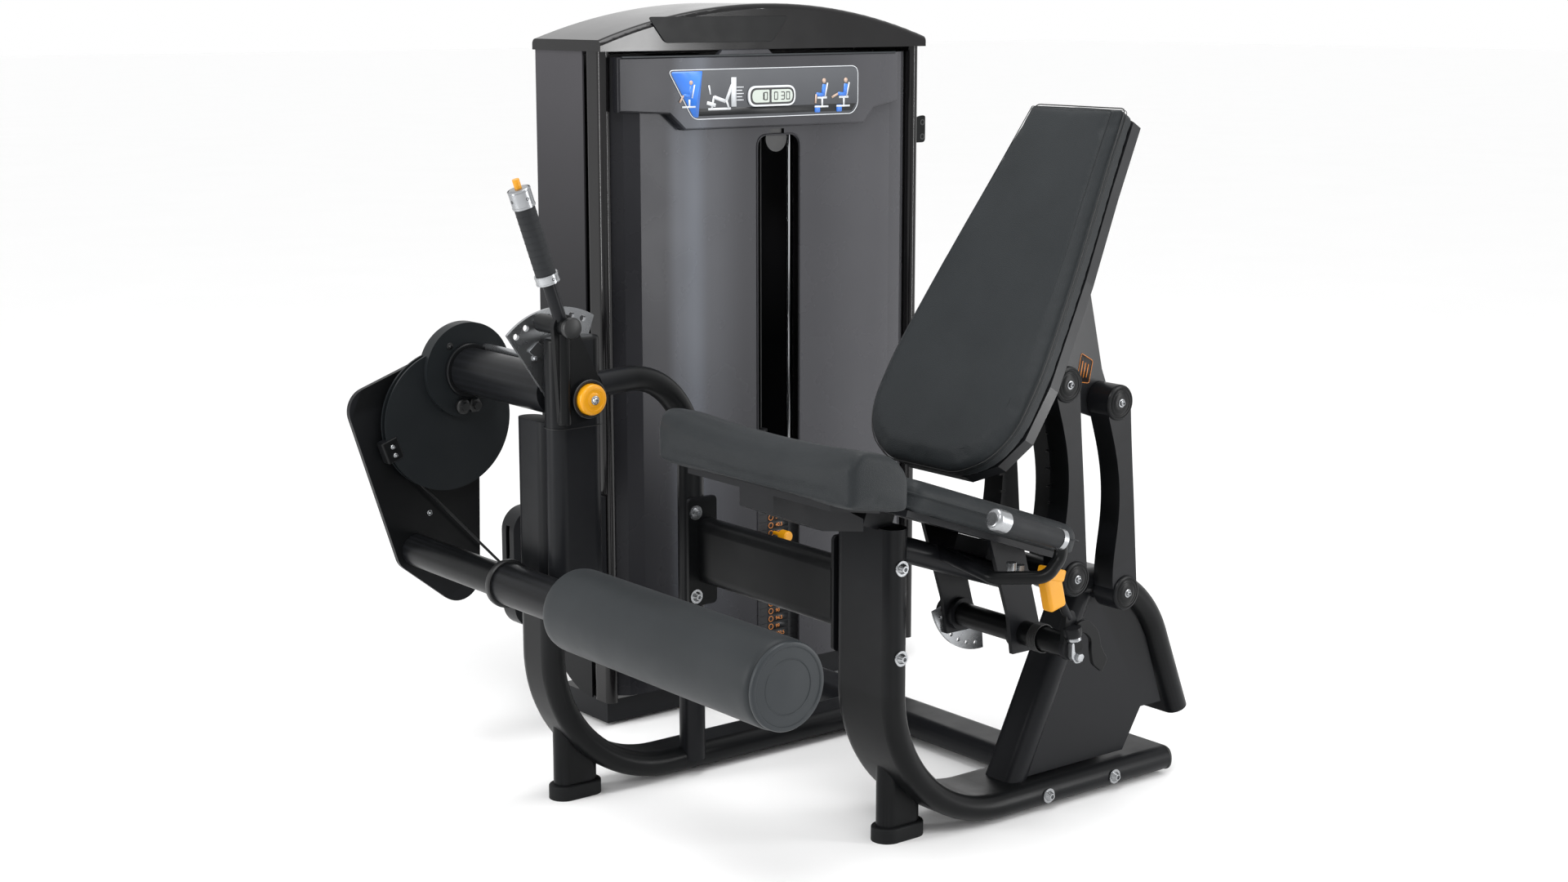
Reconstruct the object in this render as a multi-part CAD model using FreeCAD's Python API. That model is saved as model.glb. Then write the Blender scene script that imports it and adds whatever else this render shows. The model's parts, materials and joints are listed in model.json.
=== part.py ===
import FreeCAD, Part
import math
import os

# Selectorised leg extension machine, millimetres.
# +X runs from the user's feet towards the user's back, +Y from the seat to the weight tower, +Z up.
# All places below are in the machine frame; the whole model is centred on its box at export.

V = FreeCAD.Vector
X_AXIS = V(1, 0, 0)
Y_AXIS = V(0, 1, 0)
Z_AXIS = V(0, 0, 1)

# ---------------------------------------------------------------- driving dimensions
PAD_RUBBER = 8.0                 # rubber under the frame
TUBE_T = 52.0                    # thickness of the flat-oval frame tube
TUBE_W = 110.0                   # width of the light frame tube
SEAT_TUBE_W = 170.0              # width of the seat frame tube
TUBE_WALL = 4.0
BEND_R = 284.0                   # centreline radius of the frame's lower bends
BASE_Z = PAD_RUBBER + TUBE_T / 2  # centreline height of the base tubes

SEAT_Y = -595.0                  # the user's middle plane
FRONT_X = -69.0                  # front upright, centre
FRONT_TOP = 795.0
SEAT_POST_X = 291.0              # seat upright, centre
SEAT_POST_TOP = 640.0
BEAM_Z = 486.0                   # beam between the two uprights
BEAM_FAR = -62.0
FOOT_DX = 69.0                   # foot post behind its upright's centre
CROSS_X = 815.0                  # base cross tube, centre
CROSS_W = 115.0
REAR_END_X = 1050.0              # rear end of the seat frame's base

KNEE_X = -46.0                   # knee axis
KNEE_Z = 851.0
SHAFT_R = 18.0
JOURNAL_R = 26.0
FIT = 0.05                       # radial clearance of the running fits
HUB_R = 48.0

POST_LONG = 117.0                # pivot post section along X
POST_T = 55.0
POST_X = -45.5
POST_Y = -84.5
POST_BOTTOM = 432.0
POST_SEAM = 790.0
POST_TOP = 966.0

ARCH_Z = 868.0                   # arch over the cross beam
ARCH_R = 185.0
ARCH_W = 56.0
ARCH_Y = -93.0
ARCH_SKEW = 11.5
ARCH_UPRIGHT_X = 275.0

CAM_R = 148.0                    # eccentric cam
CAM_DX = -44.0
CAM_DZ = -103.0
CAM_RING_R = 100.0
CAM_Y = 318.0                    # near face of the cam
CAM_T = 20.0
RING_Y = CAM_Y - 12          # near face of the cam's thick ring
FLANGE_T = 5.0
GROOVE = 14.0                    # depth of the cable groove
CABLE_R = 3.0
CABLE_Y = CAM_Y + CAM_T / 2

ROLLER_X = -156.0
ROLLER_Z = 474.0
ROLLER_R = 81.0
ROLLER_Y0 = -905.0
ROLLER_Y1 = -246.0
AXLE_R = 34.0
SLEEVE_R = 42.0
ARM_Y = 352.0
ARM_T = 12.0

LEVER_ANGLE = 109.0              # start lever from +X, degrees
LEVER_Y = -132.0
LEVER_LEN = 454.0
PLUNGER_R = 152.0                # distance of the plunger from the knee axis
SECTOR_R = 168.0
SECTOR_Y = -40.0                 # near face of the start-position sector

REAR_W = 130.0                   # rear arch and leg under the linkage
LEG_W = 92.0
GUSSET_DY = 38.0

PULLEY_R = 53.0                  # cable centreline radius on the pulleys

TOWER_X0 = 290.0
TOWER_X1 = 1200.0
TOWER_Y0 = 300.0
TOWER_Y1 = 556.0
TOWER_TOP = 1500.0
CROWN_TOP = 1600.0
SHEET = 4.0
STACK_X = 770.0
STACK_Y = 368.0
PLATE_PITCH = 18.8
PLATE_T = 18.2
PLATE_X = 250.0
PLATE_YW = 100.0
STACK_Z = 92.0
PLATES_RESTING = 15
PLATES_LIFTED = 9
ROD_DX = 85.0
ROD_R = 9.5

BACK_ANGLE = 31.5                # backrest from the vertical
BACK_FOOT = (390.0, 745.0)       # lower end of the backrest's front face, x and z
BACK_LEN = 788.0
BACK_T = 58.0
BACK_SHELL_T = 24.0
LINK_Y = 93.0                    # linkage arms each side of the user's middle plane
LINK_T = 52.0
LINK_EYE_R = 36.0
FRONT_LOW = (716.0, 486.0)
FRONT_HIGH = (683.0, 878.0)
REAR_LOW = (860.0, 435.0)
REAR_HIGH = (827.0, 827.0)

TORQUE_X = 600.0
TORQUE_Z = 392.0

SHAPES = {}
SOLIDS = {}


# ---------------------------------------------------------------- helpers
def box(x0, x1, y0, y1, z0, z1):
    return Part.makeBox(x1 - x0, y1 - y0, z1 - z0, V(x0, y0, z0))


def rod(p0, p1, r):
    axis = p1.sub(p0)
    return Part.makeCylinder(r, axis.Length, p0, axis)


def y_rod(x, z, y0, y1, r):
    return Part.makeCylinder(r, y1 - y0, V(x, y0, z), Y_AXIS)


def pipe(x, z, y0, y1, r, bore):
    return y_rod(x, z, y0, y1, r).cut(y_rod(x, z, y0 - 1, y1 + 1, bore))


def join(shapes):
    whole = shapes[0]
    if len(shapes) > 1:
        whole = whole.fuse(shapes[1:])
    return whole.removeSplitter()


def group(shapes):
    return Part.makeCompound(shapes)


def flat_oval(centre, long_dir, short_dir, length, thick):
    a = (length - thick) / 2
    r = thick / 2
    p = [centre + long_dir * (sx * a) + short_dir * (sy * r) for sx, sy in ((1, 1), (-1, 1), (-1, -1), (1, -1))]
    tip_left = centre - long_dir * (a + r)
    tip_right = centre + long_dir * (a + r)
    edges = [
        Part.LineSegment(p[0], p[1]).toShape(),
        Part.Arc(p[1], tip_left, p[2]).toShape(),
        Part.LineSegment(p[2], p[3]).toShape(),
        Part.Arc(p[3], tip_right, p[0]).toShape(),
    ]
    return Part.Face(Part.Wire(edges))


def tube_face(centre, long_dir, short_dir, length, thick, wall=TUBE_WALL):
    outer = flat_oval(centre, long_dir, short_dir, length, thick)
    inner = flat_oval(centre, long_dir, short_dir, length - 2 * wall, thick - 2 * wall)
    return outer.cut(inner)


def bent_tube(x, z, y, heading, moves, width, thick=TUBE_T, solid=False, caps=(True, True)):
    """Flat-oval tube bent in the XZ plane. A move is a length, or (radius, turn in degrees)."""
    pieces = []
    angle = math.radians(heading)
    pos = V(x, y, z)

    def section(hollow):
        normal = V(-math.sin(angle), 0, math.cos(angle))
        if hollow:
            return tube_face(pos, Y_AXIS, normal, width, thick)
        return flat_oval(pos, Y_AXIS, normal, width, thick)

    def ahead():
        return V(math.cos(angle), 0, math.sin(angle))

    if caps[0] and not solid:
        pieces.append(section(False).extrude(ahead() * TUBE_WALL))
    for move in moves:
        face = section(not solid)
        if isinstance(move, tuple):
            radius, turn = move
            side = 1 if turn > 0 else -1
            centre = pos + V(-math.sin(angle), 0, math.cos(angle)) * (side * radius)
            pieces.append(face.revolve(centre, Y_AXIS, -turn))
            spin = FreeCAD.Rotation(Y_AXIS, -turn)
            pos = centre + spin.multVec(pos - centre)
            angle += math.radians(turn)
        else:
            pieces.append(face.extrude(ahead() * move))
            pos = pos + ahead() * move
    if caps[1] and not solid:
        pieces.append(section(False).extrude(ahead() * -TUBE_WALL))
    return join(pieces)


def straight_tube(p0, p1, long_dir, length, thick, wall=TUBE_WALL):
    axis = p1.sub(p0)
    unit = V(axis).normalize()
    short_dir = unit.cross(long_dir)
    return tube_face(p0, long_dir, short_dir, length, thick, wall).extrude(axis)


def plate_xz(points, y0, y1):
    """Flat plate with a straight-sided outline in the XZ plane."""
    corners = [V(x, y0, z) for x, z in points]
    return Part.Face(Part.makePolygon(corners + corners[:1])).extrude(V(0, y1 - y0, 0))


def lobe_plate(circles, y0, y1):
    """Plate whose outline wraps circles (x, z, r) listed counterclockwise, joined by their tangents."""
    count = len(circles)
    touch = []
    for i in range(count):
        ax, az, ar = circles[i]
        bx, bz, br = circles[(i + 1) % count]
        length = math.hypot(bx - ax, bz - az)
        lead = math.atan2(bz - az, bx - ax)
        out = lead - math.acos((ar - br) / length)
        n = V(math.cos(out), 0, math.sin(out))
        touch.append((V(ax, y0, az) + n * ar, V(bx, y0, bz) + n * br, out))
    edges = []
    for i in range(count):
        start, end, out = touch[i]
        edges.append(Part.LineSegment(start, end).toShape())
        cx, cz, r = circles[(i + 1) % count]
        nxt = touch[(i + 1) % count]
        turn = (nxt[2] - out) % (2 * math.pi)
        mid = out + turn / 2
        edges.append(Part.Arc(end, V(cx, y0, cz) + V(math.cos(mid), 0, math.sin(mid)) * r, nxt[0]).toShape())
    return Part.Face(Part.Wire(edges)).extrude(V(0, y1 - y0, 0))


def bolt(centre, axis, washer_r=15.0, head_r=10.5, head_t=9.0):
    """Button head, washer and the visible end of its thread, standing on a face."""
    washer = Part.makeCylinder(washer_r, 2.5, centre, axis)
    head = Part.makeCone(head_r, head_r * 0.62, head_t, centre + axis * 2.5, axis)
    socket = Part.makeCylinder(4.0, 5.0, centre + axis * (head_t - 2.5), axis)
    return washer.fuse(head).cut(socket)


def polar(r, degrees, y):
    a = math.radians(degrees)
    return V(KNEE_X + r * math.cos(a), y, KNEE_Z + r * math.sin(a))


def add(name, shape):
    SHAPES[name] = shape


# ---------------------------------------------------------------- frame
def front_upright_moves():
    bend_top = BASE_Z + BEND_R
    base_start = FRONT_X + BEND_R
    return [FRONT_TOP - bend_top, (BEND_R, 90), CROSS_X - CROSS_W / 2 - base_start]


def make_frame():
    bend_top = BASE_Z + BEND_R
    seat_moves = [SEAT_POST_TOP - bend_top, (BEND_R, 90), REAR_END_X - SEAT_POST_X - BEND_R]
    caps = []
    for name, x, top, y, moves, width in (
            ("front_frame", FRONT_X, FRONT_TOP, 0, front_upright_moves(), TUBE_W),
            ("seat_frame", SEAT_POST_X, SEAT_POST_TOP, SEAT_Y, seat_moves, SEAT_TUBE_W)):
        tube = bent_tube(x, top, y, -90, moves, width)
        solid = bent_tube(x, top, y, -90, moves, width, solid=True)
        SOLIDS[name] = solid
        post_x = x + FOOT_DX
        post = flat_oval(V(post_x, y, 26), X_AXIS, Y_AXIS, 96, 45).extrude(V(0, 0, 174))
        above = flat_oval(V(post_x, y, 160), X_AXIS, Y_AXIS, 110, 60).extrude(V(0, 0, 80))
        post = min(post.cut(solid.fuse(above)).Solids, key=lambda s: s.BoundBox.ZMin)
        add(name, join([tube, post]))
        cap = flat_oval(V(post_x, y, 0), X_AXIS, Y_AXIS, 116, 62).extrude(V(0, 0, 30))
        cap = cap.makeFillet(5, [e for e in cap.Edges if e.BoundBox.ZMin > 29])
        caps.append(cap.cut(flat_oval(V(post_x, y, 26), X_AXIS, Y_AXIS, 96, 45).extrude(V(0, 0, 10))))
    cross = straight_tube(V(CROSS_X, SEAT_Y + SEAT_TUBE_W / 2 - TUBE_T / 2, BASE_Z),
                          V(CROSS_X, TOWER_Y0 + 40, BASE_Z), X_AXIS, CROSS_W, TUBE_T)
    add("base_cross_tube", cross.cut(SOLIDS["seat_frame"]))
    pads = [Part.makeCylinder(30, PAD_RUBBER, V(px, py, 0)) for px, py in
            ((640, SEAT_Y), (1000, SEAT_Y), (CROSS_X, -120), (350, 420), (1140, 420))]
    bumpers = [Part.makeCylinder(20, STACK_Z - 60 - 0.5, V(STACK_X + s * ROD_DX, STACK_Y, 60)).cut(
        Part.makeCylinder(ROD_R, 100, V(STACK_X + s * ROD_DX, STACK_Y, 50))) for s in (-1, 1)]
    add("rubber_feet", group(caps + pads + bumpers))

    # pivot post beside the front upright and its bearing housing
    post = straight_tube(V(POST_X, POST_Y, POST_BOTTOM), V(POST_X, POST_Y, POST_SEAM), X_AXIS, POST_LONG, POST_T)
    floor = flat_oval(V(POST_X, POST_Y, POST_BOTTOM), X_AXIS, Y_AXIS, POST_LONG, POST_T).extrude(V(0, 0, TUBE_WALL))
    add("pivot_post", join([post, floor]))
    housing = flat_oval(V(POST_X, POST_Y, POST_SEAM), X_AXIS, Y_AXIS, POST_LONG, POST_T)
    housing = housing.extrude(V(0, 0, POST_TOP - POST_SEAM))
    housing = housing.cut(y_rod(KNEE_X, KNEE_Z, -120, 0, JOURNAL_R + FIT))
    top_edges = [e for e in housing.Edges if e.BoundBox.ZMin > POST_TOP - 1]
    add("pivot_housing", housing.makeFillet(6, top_edges))

    # arch from the post to its own upright on the front frame's base, set slightly askew
    start_x = POST_X + POST_LONG / 2
    run = ARCH_UPRIGHT_X - ARCH_R - start_x
    drop = ARCH_Z - ARCH_R - BASE_Z
    arch = bent_tube(start_x - 20, ARCH_Z, 0, 0, [20 + run, (ARCH_R, -90), drop], ARCH_W, 50, caps=(False, False))
    arch.rotate(V(start_x, 0, 0), Z_AXIS, ARCH_SKEW)
    arch.translate(V(0, ARCH_Y, 0))
    wrap = flat_oval(V(POST_X, POST_Y, 700), X_AXIS, Y_AXIS, POST_LONG, POST_T).extrude(V(0, 0, 300))
    arch = arch.cut(SOLIDS["front_frame"].fuse(wrap))
    add("knee_arch", max(arch.Solids, key=lambda s: s.Volume))


def make_cross_beam():
    y0 = BEAM_FAR
    y1 = SEAT_Y + SEAT_TUBE_W / 2
    x = SEAT_POST_X
    beam = straight_tube(V(x, y1 + 8, BEAM_Z), V(x, y0 - 8, BEAM_Z), Z_AXIS, 140, 50)
    near = box(x - 24, x + 24, y1, y1 + 8, BEAM_Z - 115, BEAM_Z + 115)
    far = box(x - 48, x + 24, y0 - 8, y0, BEAM_Z - 115, BEAM_Z + 115)
    near = near.makeFillet(10, [e for e in near.Edges if abs(e.BoundBox.YLength - 8) < 0.1])
    far = far.makeFillet(10, [e for e in far.Edges if abs(e.BoundBox.YLength - 8) < 0.1])
    upright = bent_tube(ARCH_UPRIGHT_X, 800, 0, -90, [700], ARCH_W, 50, solid=True)
    start_x = POST_X + POST_LONG / 2
    upright.rotate(V(start_x, 0, 0), Z_AXIS, ARCH_SKEW)
    upright.translate(V(0, ARCH_Y, 0))
    add("cross_beam", join([beam, near, far]).cut(upright))


def make_rear_support():
    thick = 52.0
    arch_moves = [36, (230, -62), 190]
    arch = bent_tube(812, 452, SEAT_Y, -6, arch_moves, REAR_W, thick)
    SOLIDS["rear_arch"] = bent_tube(812, 452, SEAT_Y, -6, arch_moves, REAR_W, thick, solid=True)
    SOLIDS["rear_leg"] = bent_tube(640, BASE_Z, SEAT_Y, 64, [470], LEG_W, thick, solid=True)
    leg = bent_tube(640, BASE_Z, SEAT_Y, 64, [470], LEG_W, thick, caps=(False, False))
    above = box(500, 950, -900, -300, 474, 700)
    leg = leg.cut(SOLIDS["seat_frame"].fuse(SOLIDS["rear_arch"]).fuse(above))
    add("rear_leg", max(leg.Solids, key=lambda s: s.Volume))
    add("rear_arch", arch)
    outline = [(625, 66), (948, 66), (1000, 150), (1062, 150), (1010, 300), (960, 385), (880, 430), (800, 440)]
    around = SOLIDS["rear_leg"].fuse(SOLIDS["rear_arch"]).fuse(SOLIDS["seat_frame"])
    plates = []
    for side in (-1, 1):
        y = SEAT_Y + side * GUSSET_DY
        plate = plate_xz(outline, y - 3, y + 3).cut(around)
        plates.append(max(plate.Solids, key=lambda s: s.Volume))
    add("rear_gusset", group(plates))


def make_bolts():
    bolts = []
    near_seat = SEAT_Y - SEAT_TUBE_W / 2
    for z in (392, 566):
        bolts.append(bolt(V(SEAT_POST_X, near_seat, z), V(0, -1, 0)))
    for x in (690, 880):
        bolts.append(bolt(V(x, near_seat, BASE_Z), V(0, -1, 0)))
    for z in (392, 570):
        bolts.append(bolt(V(SEAT_POST_X - 30, BEAM_FAR - 8, z), V(0, -1, 0)))
    add("frame_bolts", group(bolts))


# ---------------------------------------------------------------- knee drive
def make_knee_drive():
    hub = y_rod(KNEE_X, KNEE_Z, SECTOR_Y + 8, RING_Y, HUB_R)
    journal = y_rod(KNEE_X, KNEE_Z, -122, CAM_Y + CAM_T, JOURNAL_R)
    bore = y_rod(KNEE_X, KNEE_Z, -130, 400, SHAFT_R + FIT)
    add("hub_tube", join([hub, journal]).cut(bore))

    # cam: two flanges round a core, with the thick ring on the near side
    cx = KNEE_X + CAM_DX
    cz = KNEE_Z + CAM_DZ
    near = y_rod(cx, cz, CAM_Y, CAM_Y + FLANGE_T, CAM_R)
    far = y_rod(cx, cz, CAM_Y + CAM_T - FLANGE_T, CAM_Y + CAM_T, CAM_R)
    core = y_rod(cx, cz, CAM_Y, CAM_Y + CAM_T, CAM_R - GROOVE)
    neck = lobe_plate([(KNEE_X, KNEE_Z, CAM_RING_R - 30), (cx, cz, CAM_R - 70)], CAM_Y, CAM_Y + CAM_T)
    ring = y_rod(KNEE_X, KNEE_Z, RING_Y, CAM_Y + CAM_T, CAM_RING_R)
    cam = join([near, far, core, neck, ring]).cut(y_rod(KNEE_X, KNEE_Z, 250, 400, JOURNAL_R))
    cam = cam.cut(y_rod(KNEE_X, KNEE_Z, CAM_Y - 30, RING_Y, HUB_R))
    pocket = y_rod(cx, cz, CAM_Y + 8, CAM_Y + CAM_T + 1, CAM_R - GROOVE - 8)
    cam = cam.cut(pocket.cut(y_rod(KNEE_X, KNEE_Z, CAM_Y, CAM_Y + CAM_T + 2, CAM_RING_R)))
    clamp_a = 200.0
    clamp_p = V(cx + (CAM_R - 6) * math.cos(math.radians(clamp_a)), CABLE_Y,
                cz + (CAM_R - 6) * math.sin(math.radians(clamp_a)))
    clamp = box(-19, 19, -13, 13, -24, 24)
    clamp = clamp.makeFillet(4, clamp.Edges)
    clamp.rotate(V(0, 0, 0), Y_AXIS, -(clamp_a - 180))
    clamp.translate(clamp_p)
    screws = [y_rod(clamp_p.x + dx, clamp_p.z + dz, CABLE_Y - 16, CABLE_Y - 12, 4.5) for dx, dz in ((4, 9), (9, -8))]
    cam = cam.cut(clamp)
    add("cam_plate", cam)
    add("cable_clamp", group([join([clamp] + screws)]))

    # sector plate with the row of start-position holes
    lo = math.radians(60)
    hi = math.radians(134)
    mid = (lo + hi) / 2
    y = SECTOR_Y

    def at(r, a):
        return V(KNEE_X + r * math.cos(a), y, KNEE_Z + r * math.sin(a))
    edges = [
        Part.LineSegment(at(30, lo - 1.2), at(SECTOR_R, lo)).toShape(),
        Part.Arc(at(SECTOR_R, lo), at(SECTOR_R, mid), at(SECTOR_R, hi)).toShape(),
        Part.LineSegment(at(SECTOR_R, hi), at(30, hi + 1.2)).toShape(),
        Part.Arc(at(30, hi + 1.2), at(30, mid + math.pi), at(30, lo - 1.2)).toShape(),
    ]
    sector = Part.Face(Part.Wire(edges)).extrude(V(0, 8, 0))
    sector = sector.cut(y_rod(KNEE_X, KNEE_Z, -60, -20, JOURNAL_R))
    for i in range(7):
        p = polar(PLUNGER_R, LEVER_ANGLE - 41 + i * 10.25, 0)
        sector = sector.cut(y_rod(p.x, p.z, -60, -20, 6.6))
    tie = polar(60, 46, 0)
    add("sector_plate", join([sector, y_rod(tie.x, tie.z, SECTOR_Y + 8, RING_Y, 9)]))

    # arm: shaft, plate, axle and the start lever
    shaft = y_rod(KNEE_X, KNEE_Z, -140, ARM_Y + ARM_T + 10, SHAFT_R)
    outline = [(KNEE_X, KNEE_Z, 52), (-252, 781, 49), (ROLLER_X - 4, ROLLER_Z - 4, 42), (-56, 400, 52)]
    plate = lobe_plate(outline, ARM_Y, ARM_Y + ARM_T)
    add("arm_plate", join([plate, shaft]))
    axle = y_rod(ROLLER_X, ROLLER_Z, -10, ARM_Y, AXLE_R)
    sleeve = y_rod(ROLLER_X, ROLLER_Z, ROLLER_Y1 + 0.5, -10, SLEEVE_R)
    spindle = y_rod(ROLLER_X, ROLLER_Z, ROLLER_Y0 + 30, ROLLER_Y1 + 2, 14)
    bore = y_rod(ROLLER_X, ROLLER_Z, -4, ARM_Y + 1, AXLE_R - TUBE_WALL)
    add("roller_axle", join([axle, sleeve, spindle]).cut(bore))

    foam = pipe(ROLLER_X, ROLLER_Z, ROLLER_Y0 + 10, ROLLER_Y1 - 6, ROLLER_R, 20)
    foam = foam.makeFillet(9, [e for e in foam.Edges if abs(e.BoundBox.ZLength - 2 * ROLLER_R) < 1
                               and e.BoundBox.YLength < 1])
    add("roller_pad", foam)
    core_pipe = pipe(ROLLER_X, ROLLER_Z, ROLLER_Y0 + 8, ROLLER_Y1 - 4, 20, 14 + FIT)
    cap = y_rod(ROLLER_X, ROLLER_Z, ROLLER_Y0, ROLLER_Y0 + 10, 66)
    cap = cap.makeFillet(3, [e for e in cap.Edges if e.BoundBox.YMax < ROLLER_Y0 + 0.1])
    inner_cap = pipe(ROLLER_X, ROLLER_Z, ROLLER_Y1 - 6, ROLLER_Y1 - 1, 60, 14 + FIT)
    add("roller_caps", join([core_pipe, cap, inner_cap]))


def make_lever():
    top = polar(LEVER_LEN, LEVER_ANGLE, LEVER_Y)
    base = polar(0, 0, LEVER_Y)
    along = V(top.x - base.x, 0, top.z - base.z).normalize()
    knob = polar(PLUNGER_R, LEVER_ANGLE, 0)
    plate = lobe_plate([(KNEE_X, KNEE_Z, 42), (knob.x, knob.z, 24), (-96, 812, 12)], LEVER_Y - 6, LEVER_Y + 6)
    rib = rod(V(-96, LEVER_Y - 2, 802), V(-96, LEVER_Y - 2, 1004), 13)
    rib = rib.makeFillet(6, [min(rib.Edges, key=lambda e: e.CenterOfMass.z if e.Closed else 1e9)])
    ring = pipe(KNEE_X, KNEE_Z, -148, LEVER_Y, 38, 31)
    plate = join([plate, rib, ring]).cut(y_rod(KNEE_X, KNEE_Z, -150, -110, SHAFT_R))
    housing = y_rod(knob.x, knob.z, -164, -56, 18)
    bore = y_rod(knob.x, knob.z, -158, -50, 6 + FIT)
    add("lever_plate", join([plate, housing]).cut(bore))

    tube0 = polar(PLUNGER_R + 10, LEVER_ANGLE, LEVER_Y)
    tube1 = polar(262, LEVER_ANGLE, LEVER_Y)
    tube = rod(tube0, polar(430, LEVER_ANGLE, LEVER_Y), 13).cut(rod(polar(PLUNGER_R + 22, LEVER_ANGLE, LEVER_Y),
                                                                    polar(LEVER_LEN, LEVER_ANGLE, LEVER_Y), 7))
    tube = tube.cut(y_rod(knob.x, knob.z, -170, -40, 18)).cut(SHAPES["lever_plate"])
    tube = max(tube.Solids, key=lambda s: s.Volume)
    add("lever_tube", tube)
    grip = rod(tube1, polar(398, LEVER_ANGLE, LEVER_Y), 20).cut(rod(tube0, top, 13))
    add("lever_grip", grip)
    low = rod(polar(244, LEVER_ANGLE, LEVER_Y), tube1, 23).cut(rod(tube0, top, 13))
    high = rod(polar(398, LEVER_ANGLE, LEVER_Y), polar(436, LEVER_ANGLE, LEVER_Y), 22)
    high = high.makeFillet(7, [max(high.Edges, key=lambda e: e.CenterOfMass.dot(along)
                                   if e.Closed else -1e9)])
    hole = rod(polar(390, LEVER_ANGLE, LEVER_Y), polar(440, LEVER_ANGLE, LEVER_Y), 7)
    high = high.cut(hole).cut(rod(tube0, polar(430, LEVER_ANGLE, LEVER_Y), 13))
    add("lever_collars", group([low, high]))
    add("lever_button", rod(polar(400, LEVER_ANGLE, LEVER_Y), polar(454, LEVER_ANGLE, LEVER_Y), 6.9))
    add("start_plunger", y_rod(knob.x, knob.z, -146, SECTOR_Y - 0.4, 6))

    cap = y_rod(KNEE_X, KNEE_Z, -164, -140, 30.5)
    add("pivot_cap", cap.makeFillet(7, [e for e in cap.Edges if e.BoundBox.YMax < -163.9]))


# ---------------------------------------------------------------- weight cable and its pulleys
def taut_path(points, radius):
    """Straight runs joined by tangent arcs; gives the wire, and each arc's centre and normal."""
    edges = []
    arcs = []
    start = points[0]
    for i in range(1, len(points) - 1):
        a = (points[i - 1] - points[i]).normalize()
        b = (points[i + 1] - points[i]).normalize()
        half = math.acos(max(-1, min(1, a.dot(b)))) / 2
        back = radius / math.tan(half)
        p0 = points[i] + a * back
        p1 = points[i] + b * back
        middle = (a + b).normalize()
        centre = points[i] + middle * (radius / math.sin(half))
        edges.append(Part.LineSegment(start, p0).toShape())
        edges.append(Part.Arc(p0, centre - middle * radius, p1).toShape())
        arcs.append((centre, a.cross(b).normalize()))
        start = p1
    edges.append(Part.LineSegment(start, points[-1]).toShape())
    return Part.Wire(edges), arcs


def cable_points():
    z_top = 1483.0
    z_low = 361.5
    rise = math.radians(78.5)
    reach = PULLEY_R + PULLEY_R * math.tan(rise / 2) + (z_top - z_low) / math.tan(rise)
    head = math.asin((STACK_Y - CABLE_Y) / reach)
    h = V(math.cos(head), math.sin(head), 0)
    top_right = V(STACK_X, STACK_Y, z_top)
    top_left = top_right - h * (PULLEY_R + PULLEY_R * math.tan(rise / 2) + 0.5)
    low_right = top_right - h * (reach + 0.5)
    low_right.z = z_low
    corner = V(112.5 - PULLEY_R * math.tan(math.radians(22.5)), CABLE_Y, z_low)
    cx = KNEE_X + CAM_DX
    cz = KNEE_Z + CAM_DZ
    out = V(corner.x - cx, 0, corner.z - cz)
    leave = math.atan2(out.z, out.x) - math.acos((CAM_R - GROOVE + CABLE_R) / out.Length)
    touch = V(cx + (CAM_R - GROOVE + CABLE_R) * math.cos(leave), CABLE_Y,
              cz + (CAM_R - GROOVE + CABLE_R) * math.sin(leave))
    along = (corner - touch).normalize()
    start = touch + along * 62
    end = V(STACK_X, STACK_Y, 606.0)
    return [start, corner, low_right, top_left, top_right, end], touch


def sheave(centre, axis):
    """Grooved wheel turned about its axis, with a plain bore."""
    bore = 8 + FIT
    rim = PULLEY_R + 4
    half = 7.0
    g = CABLE_R + 0.4
    corners = [V(PULLEY_R, 0, g), V(rim, 0, g), V(rim, 0, half), V(bore, 0, half), V(bore, 0, -half),
               V(rim, 0, -half), V(rim, 0, -g), V(PULLEY_R, 0, -g)]
    edges = [Part.LineSegment(p, q).toShape() for p, q in zip(corners, corners[1:])]
    edges.append(Part.Arc(corners[-1], V(PULLEY_R - g, 0, 0), corners[0]).toShape())
    wheel = Part.Face(Part.Wire(edges)).revolve(V(0, 0, 0), Z_AXIS, 360)
    wheel.Placement = FreeCAD.Placement(centre, FreeCAD.Rotation(Z_AXIS, axis))
    return wheel


def make_cable():
    points, touch = cable_points()
    path, arcs = taut_path(points, PULLEY_R)
    first = (points[1] - points[0]).normalize()
    profile = Part.Wire(Part.makeCircle(CABLE_R, points[0], first))
    cable = path.makePipeShell([profile], True, False)
    add("weight_cable", cable)
    names = ("guard_pulley", "base_pulley", "top_pulley")
    for name, (centre, normal) in zip(names, arcs[:3]):
        add(name, sheave(centre, normal))
    return arcs


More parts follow.
